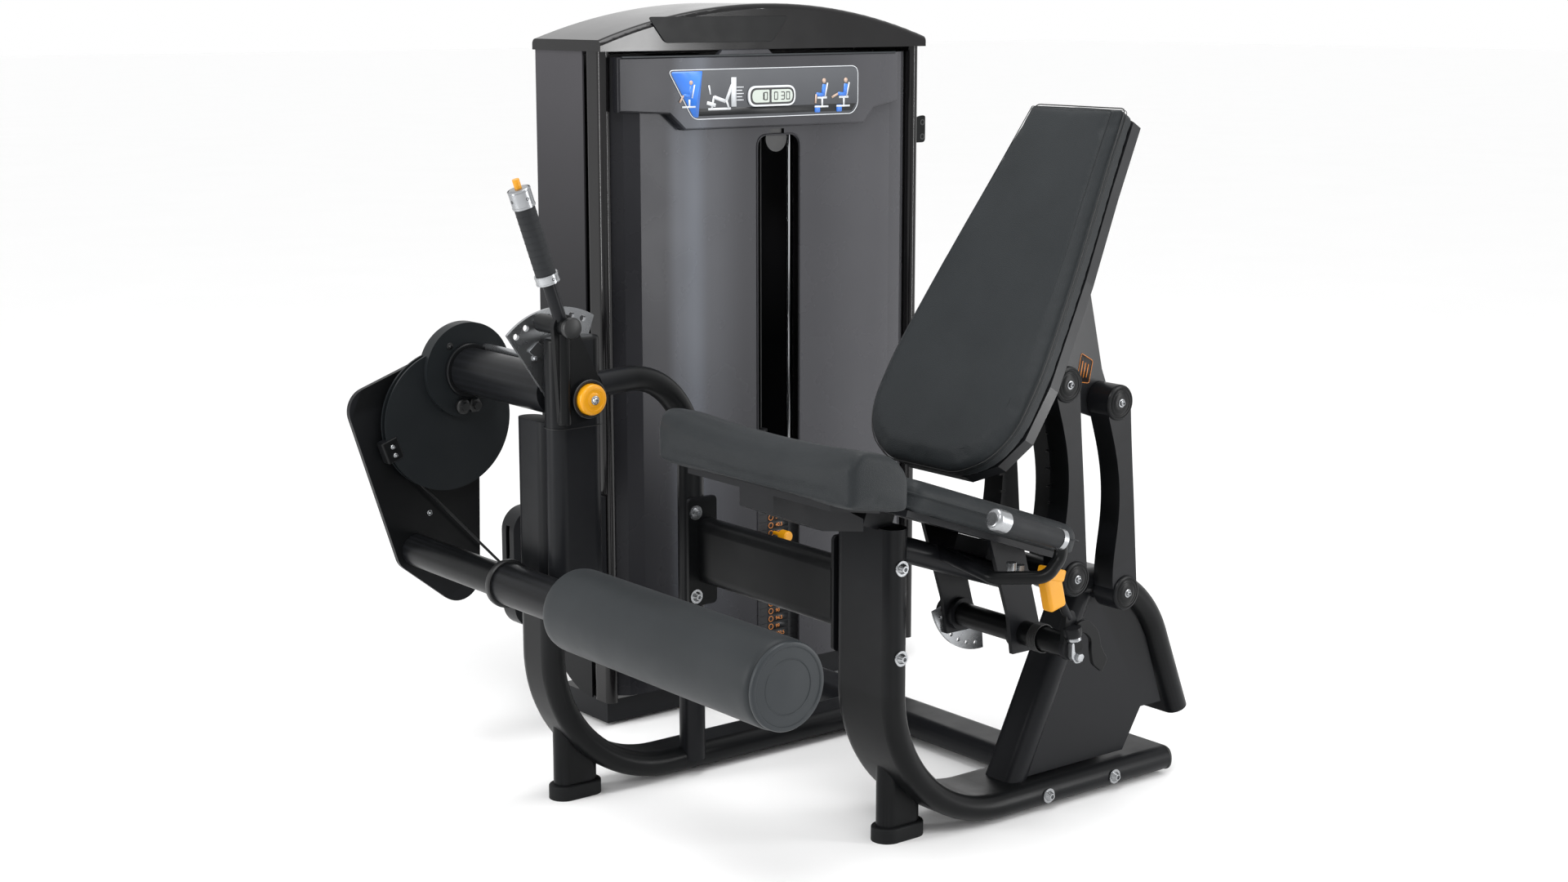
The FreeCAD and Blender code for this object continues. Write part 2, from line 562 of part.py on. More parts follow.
# ---------------------------------------------------------------- tower
def make_tower(arcs):
    x0 = TOWER_X0
    x1 = TOWER_X1
    y0 = TOWER_Y0
    y1 = TOWER_Y1
    # folded sheet base, hollow, with its sill
    base = box(x0 + 14, x1 - 14, y0 + 30, y1 - 40, PAD_RUBBER, 60)
    base = base.cut(box(x0 + 14 + TUBE_WALL, x1 - 14 - TUBE_WALL, y0 + 30 + TUBE_WALL, y1 - 40 - TUBE_WALL,
                        PAD_RUBBER + TUBE_WALL, 60 - TUBE_WALL))
    base = base.cut(box(CROSS_X - CROSS_W / 2, CROSS_X + CROSS_W / 2, y0, y0 + 40, PAD_RUBBER - 1, 61))
    add("tower_base", base)

    # columns, top beam and the pulley hangers, welded
    left = flat_oval(V(x0 + 17, y0 + 36, 60), Y_AXIS, X_AXIS, 64, 30).extrude(V(0, 0, TOWER_TOP - 60))
    right = flat_oval(V(x1 - 17, y0 + 36, 60), Y_AXIS, X_AXIS, 64, 30).extrude(V(0, 0, TOWER_TOP - 60))
    way = box(x0 - 2, x0 + 40, CABLE_Y - 10, CABLE_Y + 10, 340, 384)
    add("tower_columns", group([left.cut(way), right]))
    beam = box(x0 + 34, x1 - 34, y1 - 120, y1 - 80, 1410, 1490)
    feet = [box(x, x + 40, y1 - 120, y1 - 80, 60, 1410) for x in (x0 + 34, x1 - 74)]
    rod_plate = box(STACK_X - ROD_DX - 22, STACK_X + ROD_DX + 22, STACK_Y - 20, y1 - 120, 1338, 1350)
    rod_plate = rod_plate.cut(Part.makeCylinder(7, 40, V(STACK_X, STACK_Y, 1320)))
    for sx in (-1, 1):
        rod_plate = rod_plate.cut(Part.makeCylinder(ROD_R, 40, V(STACK_X + sx * ROD_DX, STACK_Y, 1320)))
    hang = box(STACK_X + 40, STACK_X + ROD_DX + 22, y1 - 132, y1 - 120, 1338, 1490)
    frame = [beam, rod_plate, hang] + feet
    for (centre, normal), reach in zip(arcs, (374, 374, y1 - 118)):
        n = normal if normal.y > 0 else normal * -1
        frame.append(Part.makeCylinder(8, (reach - centre.y) / n.y + 10, centre - n * 10, n))
    # lower bracket that carries the guard pulley and the base pulley
    frame.append(box(88, x0 + 150, 370, 380, 350, 470))
    frame.append(box(x0 + 40, x0 + 68, 380, y1 - 120, 350, 470))
    add("tower_frame", join(frame))

    # side panels with a large radius at the lower rear corner
    panels = []
    for xa in (x0, x1 - SHEET):
        r = 190.0
        ya = y0 + 70
        edges = [
            Part.LineSegment(V(xa, ya, 62), V(xa, ya, TOWER_TOP)).toShape(),
            Part.LineSegment(V(xa, ya, TOWER_TOP), V(xa, y1, TOWER_TOP)).toShape(),
            Part.LineSegment(V(xa, y1, TOWER_TOP), V(xa, y1, 62 + r)).toShape(),
            Part.Arc(V(xa, y1, 62 + r), V(xa, ya + (y1 - ya) * math.sin(math.pi / 4),
                                          62 + r - r * math.cos(math.pi / 4)), V(xa, ya, 62)).toShape(),
        ]
        panels.append(Part.Face(Part.Wire(edges)).extrude(V(SHEET, 0, 0)))
    holes = box(x0 - 10, x0 + 20, 360, 384, 346, 474)
    add("side_panels", group([panels[0].cut(holes), panels[1]]))

    # front shroud: shallow panel with a crease each side and the selector slot
    slot_x0 = STACK_X - 60
    slot_x1 = STACK_X + 60
    face = [(x0 + 34, y0 + 26), (x0 + 60, y0 + 6), (x0 + 100, y0), (x1 - 100, y0), (x1 - 60, y0 + 6),
            (x1 - 34, y0 + 26)]
    outer = [V(x, y, 70) for x, y in face]
    inner = [V(x, y + SHEET, 70) for x, y in reversed(face)]
    shroud = Part.Face(Part.makePolygon(outer + inner + outer[:1])).extrude(V(0, 0, TOWER_TOP - 12 - 70))
    slot = box(slot_x0, slot_x1, y0 - 5, y0 + 20, 100, 1308)
    slot = slot.makeFillet(28, [e for e in slot.Edges if e.BoundBox.ZMin > 1300 and e.BoundBox.XLength < 1])
    neck = box(STACK_X - 22, STACK_X + 16, y0 - 5, y0 + 20, 1250, 1322)
    cable_way = rod(V(300, 329.2, 361.5), V(360, 329.2, 361.5), 7)
    add("front_shroud", shroud.cut(slot).cut(neck).cut(cable_way))

    back = box(x0 + SHEET + 1, x1 - SHEET - 1, y1 - 12, y1 - 12 + SHEET, 260, TOWER_TOP - 2)
    back = back.makeFillet(1.5, [e for e in back.Edges if abs(e.BoundBox.ZLength - (TOWER_TOP - 262)) < 1])
    add("rear_shroud", back)

    # header panel above the slot
    pts = [(x0 + 30, 1372), (x0 + 163, 1364), (x0 + 205, 1328), (x1 - 195, 1328), (x1 - 165, 1362), (x1 - 92, 1376),
           (x1 - 92, 1488), (x0 + 30, 1488)]
    head = plate_xz(pts, y0 - 22, y0 - 0.5)
    head = head.makeFillet(5, [e for e in head.Edges if e.BoundBox.YMax < y0 - 21.9])
    add("header_panel", head)
    # crown with an arched top
    ca = x0 - 5
    cb = x1 + 5

    def arched(xa, xb, ya, yb, bottom, shoulder, top):
        edges = [
            Part.LineSegment(V(xa, ya, bottom), V(xa, ya, shoulder)).toShape(),
            Part.Arc(V(xa, ya, shoulder), V((xa + xb) / 2, ya, top), V(xb, ya, shoulder)).toShape(),
            Part.LineSegment(V(xb, ya, shoulder), V(xb, ya, bottom)).toShape(),
            Part.LineSegment(V(xb, ya, bottom), V(xa, ya, bottom)).toShape(),
        ]
        return Part.Face(Part.Wire(edges)).extrude(V(0, yb - ya, 0))
    crown = arched(ca, cb, y0 - 8, y1 + 4, TOWER_TOP, 1524, CROWN_TOP)
    crown = crown.makeFillet(12, [e for e in crown.Edges if e.BoundBox.ZMin > 1520 and e.BoundBox.XLength > 100])
    hollow = arched(x0 + 10, x1 - 10, y0 + 6, y1 - 8, TOWER_TOP - 1, 1514, CROWN_TOP - 8)
    add("crown_cap", crown.cut(hollow))

    rods = [Part.makeCylinder(ROD_R, 1350 - 60, V(STACK_X + s * ROD_DX, STACK_Y, 60)) for s in (-1, 1)]
    add("guide_rods", group(rods))

    # weight plates
    def weight(z):
        slab = box(STACK_X - PLATE_X / 2, STACK_X + PLATE_X / 2, STACK_Y - PLATE_YW / 2, STACK_Y + PLATE_YW / 2,
                   z, z + PLATE_T)
        for s in (-1, 1):
            slab = slab.cut(Part.makeCylinder(ROD_R + 1.5, 40, V(STACK_X + s * ROD_DX, STACK_Y, z - 10)))
        slab = slab.cut(Part.makeCylinder(14, 40, V(STACK_X, STACK_Y, z - 10)))
        slab = slab.cut(rod(V(STACK_X, STACK_Y - 60, z + PLATE_T / 2), V(STACK_X, STACK_Y, z + PLATE_T / 2), 5.5))
        return slab
    rest = [weight(STACK_Z + i * PLATE_PITCH) for i in range(PLATES_RESTING)]
    add("resting_plates", group(rest))
    first = STACK_Z + PLATES_RESTING * PLATE_PITCH
    lifted = [weight(first + i * PLATE_PITCH) for i in range(PLATES_LIFTED)]
    add("lifted_plates", group(lifted))
    head_z = first + PLATES_LIFTED * PLATE_PITCH
    block = box(STACK_X - PLATE_X / 2, STACK_X + PLATE_X / 2, STACK_Y - 42, STACK_Y + 42, head_z, head_z + 34)
    block = block.makeFillet(6, [e for e in block.Edges if abs(e.BoundBox.ZLength - 34) < 0.1])
    for s in (-1, 1):
        block = block.cut(Part.makeCylinder(ROD_R + 1.5, 80, V(STACK_X + s * ROD_DX, STACK_Y, head_z - 10)))
    stem = Part.makeCylinder(12.5, head_z - first + 30, V(STACK_X, STACK_Y, first + 1))
    neck = Part.makeCylinder(16, 48, V(STACK_X, STACK_Y, head_z + 32))
    stem = join([block, stem, neck])
    stem = stem.cut(Part.makeCylinder(CABLE_R + 1.5, 400, V(STACK_X, STACK_Y, first + 15)))
    stem = stem.cut(rod(V(STACK_X, STACK_Y - 60, first + PLATE_T / 2), V(STACK_X, STACK_Y + 30, first + PLATE_T / 2), 4.6))
    add("stack_head", stem)
    pin_z = first + PLATE_T / 2
    pin = rod(V(STACK_X, STACK_Y - 78, pin_z), V(STACK_X, STACK_Y + 8, pin_z), 4.5)
    knob = rod(V(STACK_X, STACK_Y - 106, pin_z), V(STACK_X, STACK_Y - 78, pin_z), 13)
    knob = knob.makeFillet(4, [e for e in knob.Edges if e.Closed])
    add("selector_pin", join([pin, knob]))

    # cover over the lower front pulley
    gx0 = 52.0
    gx1 = x0 - 0.5
    gz0 = 273.0
    gz1 = 537.0
    shell = box(gx0, gx1, CABLE_Y - 24, CABLE_Y + 24, gz0, gz1)
    shell = shell.makeFillet(50, [e for e in shell.Edges if abs(e.BoundBox.YLength - 48) < 0.1
                                  and e.BoundBox.XMax < gx0 + 1])
    cavity = box(gx0 + 4, gx1 + 1, CABLE_Y - 20, CABLE_Y + 20, gz0 + 4, gz1 - 4)
    cavity = cavity.makeFillet(46, [e for e in cavity.Edges if abs(e.BoundBox.YLength - 40) < 0.1
                                    and e.BoundBox.XMax < gx0 + 5])
    mouth = box(gx0 - 5, gx0 + 60, CABLE_Y - 7, CABLE_Y + 7, 340, 500)
    shaft_way = y_rod(112.5, 414.5, CABLE_Y, CABLE_Y + 60, 9)
    add("pulley_guard", shell.cut(cavity).cut(mouth).cut(shaft_way))


# ---------------------------------------------------------------- seat
def incline(x, z, dx, dz):
    """Point from (x, z) along the seat's slope by dx and square to it by dz."""
    a = math.radians(-19.5)
    return (x + dx * math.cos(a) - dz * math.sin(a), z + dx * math.sin(a) + dz * math.cos(a))


def make_seat():
    # bolster behind the knees
    y0 = -887.0
    y1 = -303.0
    pts = [(-6, 752), (-6, 826), (18, 856), (98, 836), (134, 800), (134, 727)]
    bolster = plate_xz(pts, y0, y1)
    bolster = bolster.makeFillet(14, [e for e in bolster.Edges if e.BoundBox.YLength > 100])
    dip = Part.makeCylinder(2600, 400, V(-150, (y0 + y1) / 2, 842 + 2600), X_AXIS)
    bolster = bolster.cut(dip)
    add("bolster_pad", max(bolster.Solids, key=lambda s: s.Volume))

    # seat cushion on the slope
    half = 200.0
    top0 = (226.0, 762.5)
    length = 472.0
    t = 56.0
    outline = [incline(*top0, 0, 0), incline(*top0, length, 0), incline(*top0, length, -t), incline(*top0, 4, -t)]
    cushion = plate_xz(outline, SEAT_Y - half, SEAT_Y + half)
    cushion = cushion.makeFillet(16, [e for e in cushion.Edges if e.BoundBox.YLength > 300
                                      ])
    add("seat_pad", cushion)
    pan = plate_xz([incline(*top0, 14, -t - 1), incline(*top0, length - 20, -t - 1),
                    incline(*top0, length - 20, -t - 13), incline(*top0, 14, -t - 13)],
                   SEAT_Y - half + 20, SEAT_Y + half - 20)
    shelf = plate_xz([(14, 748.4), (128, 728), (128, 716), (14, 736)], SEAT_Y - 210, SEAT_Y + 210)
    strut = plate_xz([(14, 736), (128, 716), (226, 664), (226, 640), (128, 655), (14, 702)], SEAT_Y - 50, SEAT_Y + 50)
    strut = strut.cut(SOLIDS["seat_frame"])

    # rail under the pan, from the front saddle to the rear support
    rail0 = (226.0, 750.0)
    r0 = incline(*rail0, -30, -t - 14 - 46)
    r1 = incline(*rail0, 498, -t - 14 - 46)
    start = V(r0[0], SEAT_Y, r0[1])
    end = V(r1[0], SEAT_Y, r1[1])
    rail = straight_tube(start, end, Y_AXIS, 120, 50)
    rail = join([rail, straight_tube(start, start + (end - start) * 0.01, Y_AXIS, 120, 50, 24),
                 straight_tube(end + (start - end) * 0.01, end, Y_AXIS, 120, 50, 24)])
    rail_solid = flat_oval(start, Y_AXIS, (end - start).normalize().cross(Y_AXIS), 120, 50).extrude(end - start)
    SOLIDS["seat_rail"] = rail_solid
    clear = SOLIDS["seat_frame"].fuse(SOLIDS["rear_arch"]).fuse(SOLIDS["rear_leg"])
    add("seat_rail", max(rail.cut(clear).Solids, key=lambda s: s.Volume))
    blocks = []
    for dx in (40, length - 100):
        pts = [incline(*top0, dx, -t - 14), incline(*top0, dx + 70, -t - 14), incline(*top0, dx + 70, -t - 50),
               incline(*top0, dx, -t - 50)]
        blocks.append(plate_xz(pts, SEAT_Y - 46, SEAT_Y + 46))
    tray = join([pan] + blocks).cut(rail_solid.fuse(SOLIDS["seat_frame"]))
    add("seat_pan", group(join([shelf, strut]).Solids + tray.Solids))

    # hanging brackets for the release shaft
    hangers = []
    for y in (-500, -690):
        plate = plate_xz([(498, 606), (590, 574), (640, 400), (632, 354), (568, 354), (556, 430)], y - 5, y + 5)
        plate = plate.cut(y_rod(TORQUE_X, TORQUE_Z, y - 10, y + 10, 24 + FIT)).cut(cushion.fuse(tray))
        hangers.append(max(plate.Solids, key=lambda p: p.Volume))
    collars = [pipe(TORQUE_X, TORQUE_Z, y, y + 12, 33, 24 + FIT) for y in (-517.2, -684.8)]
    SHAPES["seat_brackets"] = group(hangers + collars)

    # side handles: grip alongside the seat and its return tube
    handles = []
    grips = []
    trims = []
    for s in (-1, 1):
        y = SEAT_Y + s * 272
        p0 = V(342, y, 688)
        p1 = V(516, y, 624)
        along = (p1 - p0).normalize()
        low = V(484, y, 556)
        back = V(424, SEAT_Y + s * 190, 548)
        wire, _ = taut_path([p0 + along * 18, p1 + along * 32, low, back, V(420, SEAT_Y + s * 40, 572)], 30)
        tube = wire.makePipeShell([Part.Wire(Part.makeCircle(12.5, p0 + along * 18, along))], True, False)
        handles.append(max(tube.cut(SOLIDS["seat_rail"]).Solids, key=lambda h: h.Volume))
        grips.append(rod(p0 + along * 34, p1 - along * 8, 19).cut(tube))
        tip = rod(p0, p0 + along * 34, 21)
        tip = tip.makeFillet(9, [min(tip.Edges, key=lambda e: e.CenterOfMass.x if e.Closed else 1e9)])
        trims.append(tip.cut(tube))
        trims.append(rod(p1 - along * 8, p1 + along * 4, 20.5).cut(tube))
    add("side_handles", group(handles))
    add("side_grips", group(grips))
    add("side_collars", group(trims))


# ---------------------------------------------------------------- backrest and its linkage
def back_point(s, depth, y=0.0):
    """Point s up the backrest's front face and depth behind it."""
    a = math.radians(BACK_ANGLE)
    return V(BACK_FOOT[0] + s * math.sin(a) + depth * math.cos(a), y,
             BACK_FOOT[1] + s * math.cos(a) - depth * math.sin(a))


def back_outline(depth, inset):
    halves = [(0 + inset, 98 - inset), (38 + inset * 0.6, 168 - inset), (104, 206 - inset), (215, 211 - inset),
              (435, 184 - inset), (620, 151 - inset), (BACK_LEN - 12, 128 - inset), (BACK_LEN - inset, 116 - inset)]
    right = [back_point(s, depth, SEAT_Y - w) for s, w in halves]
    left = [back_point(s, depth, SEAT_Y + w) for s, w in reversed(halves)]
    pts = right + left
    return Part.Wire([Part.LineSegment(pts[i], pts[(i + 1) % len(pts)]).toShape() for i in range(len(pts))])


def make_backrest():
    a = math.radians(BACK_ANGLE)
    inward = V(math.cos(a), 0, -math.sin(a))
    pad = Part.Face(back_outline(0, 0)).extrude(inward * BACK_T)
    add("backrest_pad", pad)
    shell = Part.Face(back_outline(BACK_T + 0.5, 8)).extrude(inward * BACK_SHELL_T)
    plates = []
    deep = BACK_T + BACK_SHELL_T
    for s in (-1, 1):
        y = SEAT_Y + s * 58
        p = [back_point(190, deep), back_point(575, deep)]
        outline = [(p[0].x, p[0].z), (FRONT_HIGH[0] - 34, FRONT_HIGH[1] - 30), (FRONT_HIGH[0], FRONT_HIGH[1] - 40),
                   (REAR_HIGH[0], REAR_HIGH[1] - 40), (REAR_HIGH[0] + 34, REAR_HIGH[1]),
                   (REAR_HIGH[0] + 8, REAR_HIGH[1] + 60), (p[1].x, p[1].z)]
        plates.append(plate_xz(outline, y - 5, y + 5))
    pins = []
    for x, z in (FRONT_HIGH, REAR_HIGH):
        pins.append(y_rod(x, z, SEAT_Y - LINK_Y - LINK_T / 2 - 4, SEAT_Y + LINK_Y + LINK_T / 2 + 4, 12))
        pins.append(y_rod(x, z, SEAT_Y - 60, SEAT_Y + 60, 24))
    add("backrest_shell", join([shell] + plates + pins))


def link_arm(low, high, y):
    """Cast arm: an eye at each end, a deep concave front edge and a nearly straight rear edge."""
    y0 = y - LINK_T / 2
    eyes = [y_rod(x, z, y0, y0 + LINK_T, LINK_EYE_R) for x, z in (low, high)]
    rise = high[1] - low[1]
    lean = (high[0] - low[0]) / rise

    def at(dx, t):
        return V(low[0] + dx + lean * rise * t, y0, low[1] + rise * t)
    front = Part.BSplineCurve()
    front.interpolate([at(-34, 0.03), at(-31, 0.16), at(-14, 0.36), at(-6, 0.55), at(-13, 0.75), at(-28, 0.92),
                       at(-34, 0.99)])
    back = Part.BSplineCurve()
    back.interpolate([at(34, 0.99), at(33, 0.85), at(34, 0.5), at(34, 0.2), at(34, 0.03)])
    edges = [front.toShape(), Part.LineSegment(at(-34, 0.99), at(34, 0.99)).toShape(), back.toShape(),
             Part.LineSegment(at(34, 0.03), at(-34, 0.03)).toShape()]
    web = Part.Face(Part.Wire(edges)).extrude(V(0, LINK_T, 0))
    arm = join([web] + eyes)
    for x, z in (low, high):
        arm = arm.cut(y_rod(x, z, y - 60, y + 60, 12 + FIT))
    return arm


def make_linkage():
    for name, low, high in (("front_links", FRONT_LOW, FRONT_HIGH), ("rear_links", REAR_LOW, REAR_HIGH)):
        arms = [link_arm(low, high, SEAT_Y + s * LINK_Y) for s in (-1, 1)]
        add(name, group(arms))
    pins = []
    for x, z in (FRONT_LOW, REAR_LOW):
        pins.append(y_rod(x, z, SEAT_Y - LINK_Y - LINK_T / 2 - 4, SEAT_Y + LINK_Y + LINK_T / 2 + 4, 12))
        pins.append(y_rod(x, z, SEAT_Y - 66, SEAT_Y + 66, 27))
    around = SOLIDS["rear_leg"].fuse([SOLIDS["rear_arch"], SOLIDS["seat_rail"], SHAPES["rear_gusset"]])
    lower = [join(pins[i:i + 2]).cut(around) for i in (0, 2)]
    add("rear_arch", group([SHAPES["rear_arch"]] + [piece for part in lower for piece in part.Solids]))

    # release: shaft across the machine, sector at its far end, sprung lever at its near end
    shaft = y_rod(TORQUE_X, TORQUE_Z, -815.2, -462, 24)
    lever = lobe_plate([(TORQUE_X, TORQUE_Z, 26), (TORQUE_X - 8, TORQUE_Z + 62, 12)], -826, -815.2)
    stem = rod(V(TORQUE_X - 8, -820, TORQUE_Z + 58), V(TORQUE_X - 40, -822, TORQUE_Z + 108), 8)
    add("release_lever", join([shaft, lever, stem]))
    paddle = box(-21, 21, -14, 14, 0, 70)
    paddle = paddle.makeFillet(7, paddle.Edges)
    paddle.rotate(V(0, 0, 0), Y_AXIS, -14)
    paddle.translate(V(TORQUE_X - 52, -826, TORQUE_Z + 86))
    add("release_paddle", paddle.cut(SHAPES["release_lever"]))
    lo = math.radians(195)
    hi = math.radians(275)
    mid = (lo + hi) / 2

    def at(r, t):
        return V(TORQUE_X + 66 + r * math.cos(t), -495, TORQUE_Z + 44 + r * math.sin(t))
    edges = [
        Part.Arc(at(132, lo), at(132, mid), at(132, hi)).toShape(),
        Part.LineSegment(at(132, hi), at(84, hi)).toShape(),
        Part.Arc(at(84, hi), at(84, mid), at(84, lo)).toShape(),
        Part.LineSegment(at(84, lo), at(132, lo)).toShape(),
    ]
    sector = Part.Face(Part.Wire(edges)).extrude(V(0, 6, 0))
    for i in range(6):
        t = lo + math.radians(10 + i * 12)
        p = at(118, t)
        sector = sector.cut(y_rod(p.x, p.z, -500, -480, 4.5))
    add("recline_sector", sector.cut(y_rod(TORQUE_X, TORQUE_Z, -520, -460, 25.5)))


def main():
    os.makedirs("parts", exist_ok=True)
    make_frame()
    make_cross_beam()
    make_rear_support()
    make_bolts()
    make_knee_drive()
    make_lever()
    arcs = make_cable()
    make_tower(arcs)
    make_seat()
    make_backrest()
    make_linkage()
    whole = Part.makeCompound(list(SHAPES.values())).optimalBoundingBox(False)
    shift = V(-(whole.XMin + whole.XMax) / 2, -(whole.YMin + whole.YMax) / 2, -whole.ZMin)
    for name, shape in SHAPES.items():
        shape.translate(shift)
        shape.exportStep("parts/" + name + ".step")


main()
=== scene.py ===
import json
import math

import bmesh
import bpy
from mathutils import Matrix, Quaternion, Vector


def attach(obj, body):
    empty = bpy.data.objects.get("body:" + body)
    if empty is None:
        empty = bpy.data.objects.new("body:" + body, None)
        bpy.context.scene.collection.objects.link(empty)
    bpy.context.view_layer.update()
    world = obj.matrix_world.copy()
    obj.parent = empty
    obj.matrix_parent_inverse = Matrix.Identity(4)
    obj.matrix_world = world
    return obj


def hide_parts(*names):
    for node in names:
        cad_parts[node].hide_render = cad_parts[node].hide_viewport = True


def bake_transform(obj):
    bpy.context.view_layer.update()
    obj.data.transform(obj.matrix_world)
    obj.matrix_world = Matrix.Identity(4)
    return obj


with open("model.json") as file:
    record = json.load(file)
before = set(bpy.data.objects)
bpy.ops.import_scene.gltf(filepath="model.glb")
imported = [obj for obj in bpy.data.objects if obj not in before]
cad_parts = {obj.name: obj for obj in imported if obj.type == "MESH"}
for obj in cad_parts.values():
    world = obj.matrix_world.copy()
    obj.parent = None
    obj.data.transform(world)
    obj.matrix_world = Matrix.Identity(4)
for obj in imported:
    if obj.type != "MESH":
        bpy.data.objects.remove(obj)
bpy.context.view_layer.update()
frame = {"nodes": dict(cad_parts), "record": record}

NODES = frame["nodes"]
SLOTS = {s["node"]: s["material_slot"] for s in frame["record"]["subparts"]}
SHIFT = Vector((-0.452, 0.1725, 0.0))
KNEE = (-46.0, 851.0)
SEAT_Y = -595.0
# Sizes below are in machine millimetres, but EYE and CLOTH_VOXEL are in metres.
ROLLER_X, ROLLER_Z = -156, 474
CABLE_Y = 328
SHAFT_X, SHAFT_Z = 600, 392
BACK_FOOT = (390, 745)
BACK_LEAN_DEG = 31.5
BACK_THICK = 58.0
BACK_LONG = 788
SEAT_FRONT = (226, 762.5)
SEAT_SLOPE_DEG = -19.5
SEAT_THICK = 56.0
BOLSTER_LONG = 578.0
BOLSTER_START = -884.0
BOLSTER_SHOULDER = 16
PLATES = 24
RESTING = 15
PLATE_PITCH = 18.8
PLATE_KG = 4.5
STACK_Z = 92.0
CLOTH_VOXEL = 0.005
CLOTH_FRAMES = 20
EYE = (-2.9352, -3.6609, 1.6144)
YAW_DEG, PITCH_DEG = 38.340, 10.874
LENS_MM, SENSOR_MM = 53.116, 36.0


def P(x, y, z):
    """Machine millimetres to the part's frame."""
    return Vector((x, y, z)) / 1000 + SHIFT


def lin(hex_code):
    out = []
    for i in (0, 2, 4):
        c = int(hex_code[i:i + 2], 16) / 255
        out.append(c / 12.92 if c <= 0.04045 else ((c + 0.055) / 1.055) ** 2.4)
    return (*out, 1.0)


# ------------------------------------------------------------------ materials
def material(name, dark, light, rough=(0.3, 0.45), metallic=0.0, coat=0.0, coat_rough=0.1, grain=(400, 0.05),
             mottle=12.0, sheen=0.0, kind="noise", painted_edge_highlight=None, gradient=None, spec=0.5, painted_reflection_bands=None):
    """Procedural finish: two tones mixed by noise, varied roughness and a fine bump.

    A gradient changes the tone along an axis. The bands paint a reflection (a highlight streak and a shaded
    flank) across the shroud, and the edge colour is a painted highlight on convex edges.
    """
    m = bpy.data.materials.new(name)
    m.use_nodes = True
    nt = m.node_tree
    b = nt.nodes["Principled BSDF"]
    b.inputs["Metallic"].default_value = metallic
    b.inputs["Coat Weight"].default_value = coat
    b.inputs["Coat Roughness"].default_value = coat_rough
    b.inputs["Sheen Weight"].default_value = sheen
    b.inputs["Sheen Roughness"].default_value = 0.4
    b.inputs["Specular IOR Level"].default_value = spec
    co = nt.nodes.new("ShaderNodeTexCoord")

    def noise(scale, detail=4.0, vector=None):
        n = nt.nodes.new("ShaderNodeTexNoise")
        n.inputs["Scale"].default_value = scale
        n.inputs["Detail"].default_value = detail
        nt.links.new(vector or co.outputs["Object"], n.inputs["Vector"])
        return n.outputs["Fac"]

    def spread(fac, lo, hi, a, c):
        r = nt.nodes.new("ShaderNodeMapRange")
        r.inputs["From Min"].default_value = lo
        r.inputs["From Max"].default_value = hi
        r.inputs["To Min"].default_value = a
        r.inputs["To Max"].default_value = c
        nt.links.new(fac, r.inputs["Value"])
        return r.outputs["Result"]

    def mix(fac, a, c):
        x = nt.nodes.new("ShaderNodeMix")
        x.data_type = "RGBA"
        for value, socket in ((a, x.inputs[6]), (c, x.inputs[7])):
            if isinstance(value, tuple):
                socket.default_value = value
            else:
                nt.links.new(value, socket)
        nt.links.new(fac, x.inputs[0])
        return x.outputs[2]

    colour = mix(spread(noise(mottle), 0.2, 0.8, 0.0, 1.0), dark, light)
    if gradient:
        sep = nt.nodes.new("ShaderNodeSeparateXYZ")
        nt.links.new(co.outputs["Object"], sep.inputs[0])
        axis, lo, hi, tone = gradient
        colour = mix(spread(sep.outputs[axis], lo, hi, 0.0, 1.0), colour, tone)
    # painted reflection and shade: a tone ramp across the shroud's width stands in for a highlight streak and
    # its shaded flank
    if painted_reflection_bands:
        sep = nt.nodes.new("ShaderNodeSeparateXYZ")
        nt.links.new(co.outputs["Object"], sep.inputs[0])
        ramp = nt.nodes.new("ShaderNodeValToRGB")
        ramp.color_ramp.interpolation = "EASE"
        steps = ramp.color_ramp.elements
        for k, (at, tone) in enumerate(painted_reflection_bands):
            step = steps[k] if k < 2 else steps.new(at)
            step.position = at
            step.color = tone
        nt.links.new(spread(sep.outputs[0], P(324, 0, 0).x, P(1166, 0, 0).x, 0.0, 1.0), ramp.inputs["Fac"])
        colour = mix(spread(noise(mottle), 0.2, 0.8, 0.75, 0.9), colour, ramp.outputs["Color"])
    # painted highlight: convex edges, found by pointiness, are lightened
    if painted_edge_highlight:
        geo = nt.nodes.new("ShaderNodeNewGeometry")
        edge = spread(geo.outputs["Pointiness"], 0.53, 0.6, 0.0, 0.55)
        colour = mix(edge, colour, painted_edge_highlight)
    nt.links.new(colour, b.inputs["Base Color"])
    nt.links.new(spread(noise(mottle * 2.3), 0.15, 0.85, *rough), b.inputs["Roughness"])
    scale, strength = grain
    if kind == "leather":
        v = nt.nodes.new("ShaderNodeTexVoronoi")
        v.feature = "DISTANCE_TO_EDGE"
        v.inputs["Scale"].default_value = scale
        wob = nt.nodes.new("ShaderNodeTexNoise")
        wob.inputs["Scale"].default_value = scale * 0.5
        nt.links.new(co.outputs["Object"], wob.inputs["Vector"])
        add = nt.nodes.new("ShaderNodeVectorMath")
        add.operation = "MULTIPLY_ADD"
        add.inputs[1].default_value = (0.0012, 0.0012, 0.0012)
        nt.links.new(wob.outputs["Color"], add.inputs[0])
        nt.links.new(co.outputs["Object"], add.inputs[2])
        nt.links.new(add.outputs[0], v.inputs["Vector"])
        height = spread(v.outputs["Distance"], 0.0, 0.35, 0.0, 1.0)
    elif kind == "brushed":
        mp = nt.nodes.new("ShaderNodeMapping")
        mp.inputs["Scale"].default_value = (scale, scale, scale * 0.03)
        nt.links.new(co.outputs["Object"], mp.inputs["Vector"])
        height = noise(1.0, 6.0, mp.outputs["Vector"])
    else:
        height = noise(scale, 6.0)
    bump = nt.nodes.new("ShaderNodeBump")
    bump.inputs["Strength"].default_value = strength
    bump.inputs["Distance"].default_value = 0.0006
    nt.links.new(height, bump.inputs["Height"])
    nt.links.new(bump.outputs["Normal"], b.inputs["Normal"])
    return m
